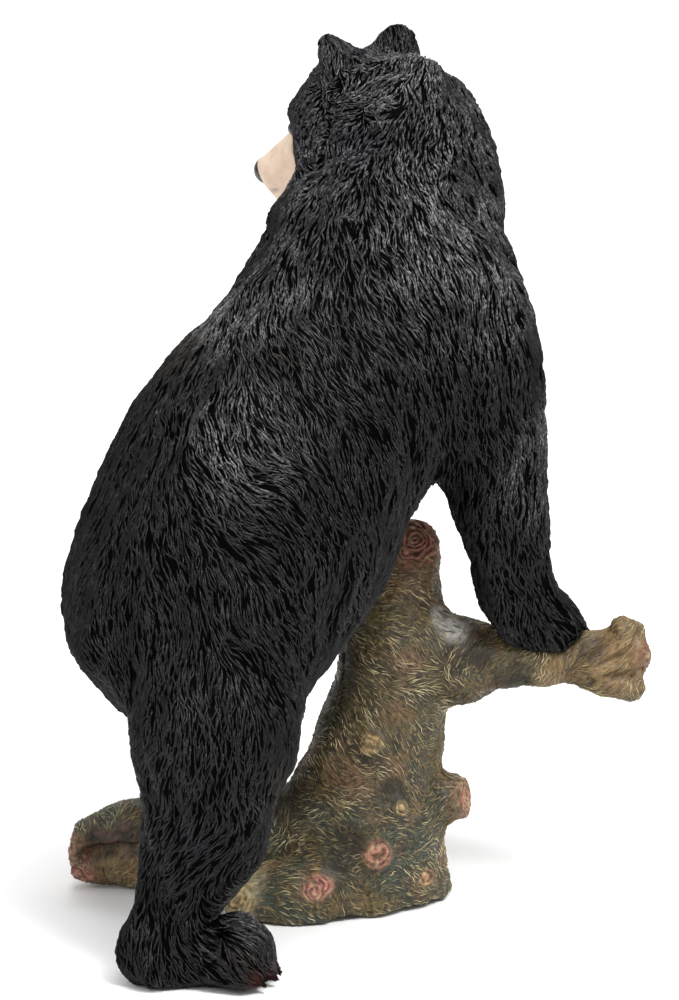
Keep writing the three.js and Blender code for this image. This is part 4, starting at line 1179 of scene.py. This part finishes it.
class StumpSettings(bpy.types.PropertyGroup):
    skin_size: size_of("Skin detail", "Size of the cells that the bark is carved in", 0.36 * MM)
    furrow_length: size_of("Furrow length", "Length of one furrow in the bark", 5 * MM)
    furrow_width: size_of("Furrow width", "Width of one furrow in the bark", 1.1 * MM)
    furrow_depth: FloatProperty(name="Furrow depth", description="Depth of a furrow in mm", default=0.2)
    furrow_spacing: size_of("Furrow spacing", "How far apart the furrows begin", 2.0 * MM)
    scratch_length: size_of("Ridge length", "Length of one thin ridge", 3.5 * MM)
    scratch_width: size_of("Ridge width", "Width of one thin ridge", 0.4 * MM)
    scratch_height: size_of("Ridge height", "Height of one thin ridge", 0.28 * MM)
    scratch_spacing: size_of("Ridge spacing", "How far apart the thin ridges begin", 1.95 * MM)
    lump_depth: FloatProperty(name="Lump depth", description="Height of the lumps in mm", default=0.6)
    triangles: IntProperty(name="Triangles", description="Triangles of the bark", default=115000, min=1000)
    bark_colour: colour("Bark", "Olive brown under the strokes", (0.092, 0.069, 0.028))
    bark_shade: colour("Bark shade", "Darker patches of the bark", (0.036, 0.029, 0.015))
    moss_colour: colour("Moss", "Grey green near the ground", (0.032, 0.048, 0.036))
    warm_colour: colour("Rust", "Warm patches of the bark", (0.16, 0.085, 0.045))
    # Painted shade: this dark brown darkens the furrows, the shaded places and the hollow root, and is also
    # mixed in at random as darker paint
    dark_paint_and_shade_colour: colour("Grooves", "Dark wash in the grooves", (0.018, 0.014, 0.008))
    gold_colour: colour("Gold", "Broad golden strokes", (0.32, 0.22, 0.085))
    hatch_colour: colour("Hatching", "Thin pale strokes brushed over the bark", (0.70, 0.60, 0.34))
    tan_colour: colour("Tan", "Golden brown of the broken branch", (0.185, 0.115, 0.052))
    # Painted shade inside the hollow root
    hollow_shade_colour: colour("Hollow", "Reddish brown inside the hollow root", (0.085, 0.045, 0.032))
    cream_colour: colour("Cream", "Cream wash on the root by the hind foot", (0.42, 0.38, 0.25))
    # Painted highlight: the grey white goes where light falls on the rims and the saddle, and is not wear
    rim_highlight_colour: colour("Rims", "Grey white of the worn rims", (0.55, 0.53, 0.50))
    sawn_colour: colour("Sawn wood", "Pink of the sawn faces", (0.44, 0.17, 0.125))
    ring_colour: colour("Rings", "Darker rings of the sawn faces", (0.16, 0.045, 0.035))


class StageSettings(bpy.types.PropertyGroup):
    floor_colour: colour("Floor", "Colour of the paper under the figurine", (0.95, 0.95, 0.95))
    room_light: FloatProperty(name="Room light", description="Strength of the even light", default=0.62)
    daylight: FloatProperty(name="Daylight", description="Strength of the light on all the floor", default=1.5)
    key_power: FloatProperty(name="Key light", description="Power of the main light in watts", default=14)


class CarveBear(bpy.types.Operator):
    """Carves and paints the bear"""
    bl_idname = "figurine.carve_bear"
    bl_label = "Carve the bear"

    def execute(self, context):
        make_bear(context.scene.figurine_bear)
        return {"FINISHED"}


class CarveStump(bpy.types.Operator):
    """Carves and paints the tree stump"""
    bl_idname = "figurine.carve_stump"
    bl_label = "Carve the stump"

    def execute(self, context):
        make_stump(context.scene.figurine_stump)
        return {"FINISHED"}


class SetStage(bpy.types.Operator):
    """Sets the floor, the lights and the camera"""
    bl_idname = "figurine.set_stage"
    bl_label = "Set the stage"

    def execute(self, context):
        make_stage(context.scene.figurine_stage)
        make_camera()
        return {"FINISHED"}


class FigurinePanel(bpy.types.Panel):
    """Lists the pieces of the figurine and their settings"""
    bl_idname = "FIGURINE_PT_pieces"
    bl_label = "Bear on a stump"
    bl_space_type = "VIEW_3D"
    bl_region_type = "UI"
    bl_category = "Figurine"

    def draw(self, context):
        scene = context.scene
        for operator, settings in ((CarveBear, scene.figurine_bear), (CarveStump, scene.figurine_stump),
                                   (SetStage, scene.figurine_stage)):
            box = self.layout.box()
            box.operator(operator.bl_idname)
            for name in settings.__annotations__:
                box.prop(settings, name)


CLASSES = (BearSettings, StumpSettings, StageSettings, CarveBear, CarveStump, SetStage, FigurinePanel)


def register():
    for item in CLASSES:
        bpy.utils.register_class(item)
    bpy.types.Scene.figurine_bear = PointerProperty(type=BearSettings)
    bpy.types.Scene.figurine_stump = PointerProperty(type=StumpSettings)
    bpy.types.Scene.figurine_stage = PointerProperty(type=StageSettings)


def unregister():
    del bpy.types.Scene.figurine_bear
    del bpy.types.Scene.figurine_stump
    del bpy.types.Scene.figurine_stage
    for item in reversed(CLASSES):
        bpy.utils.unregister_class(item)


def main():
    register()
    bpy.ops.figurine.carve_bear()
    bpy.ops.figurine.carve_stump()
    bpy.ops.figurine.set_stage()
    bpy.context.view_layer.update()


if __name__ == "__main__":
    main()
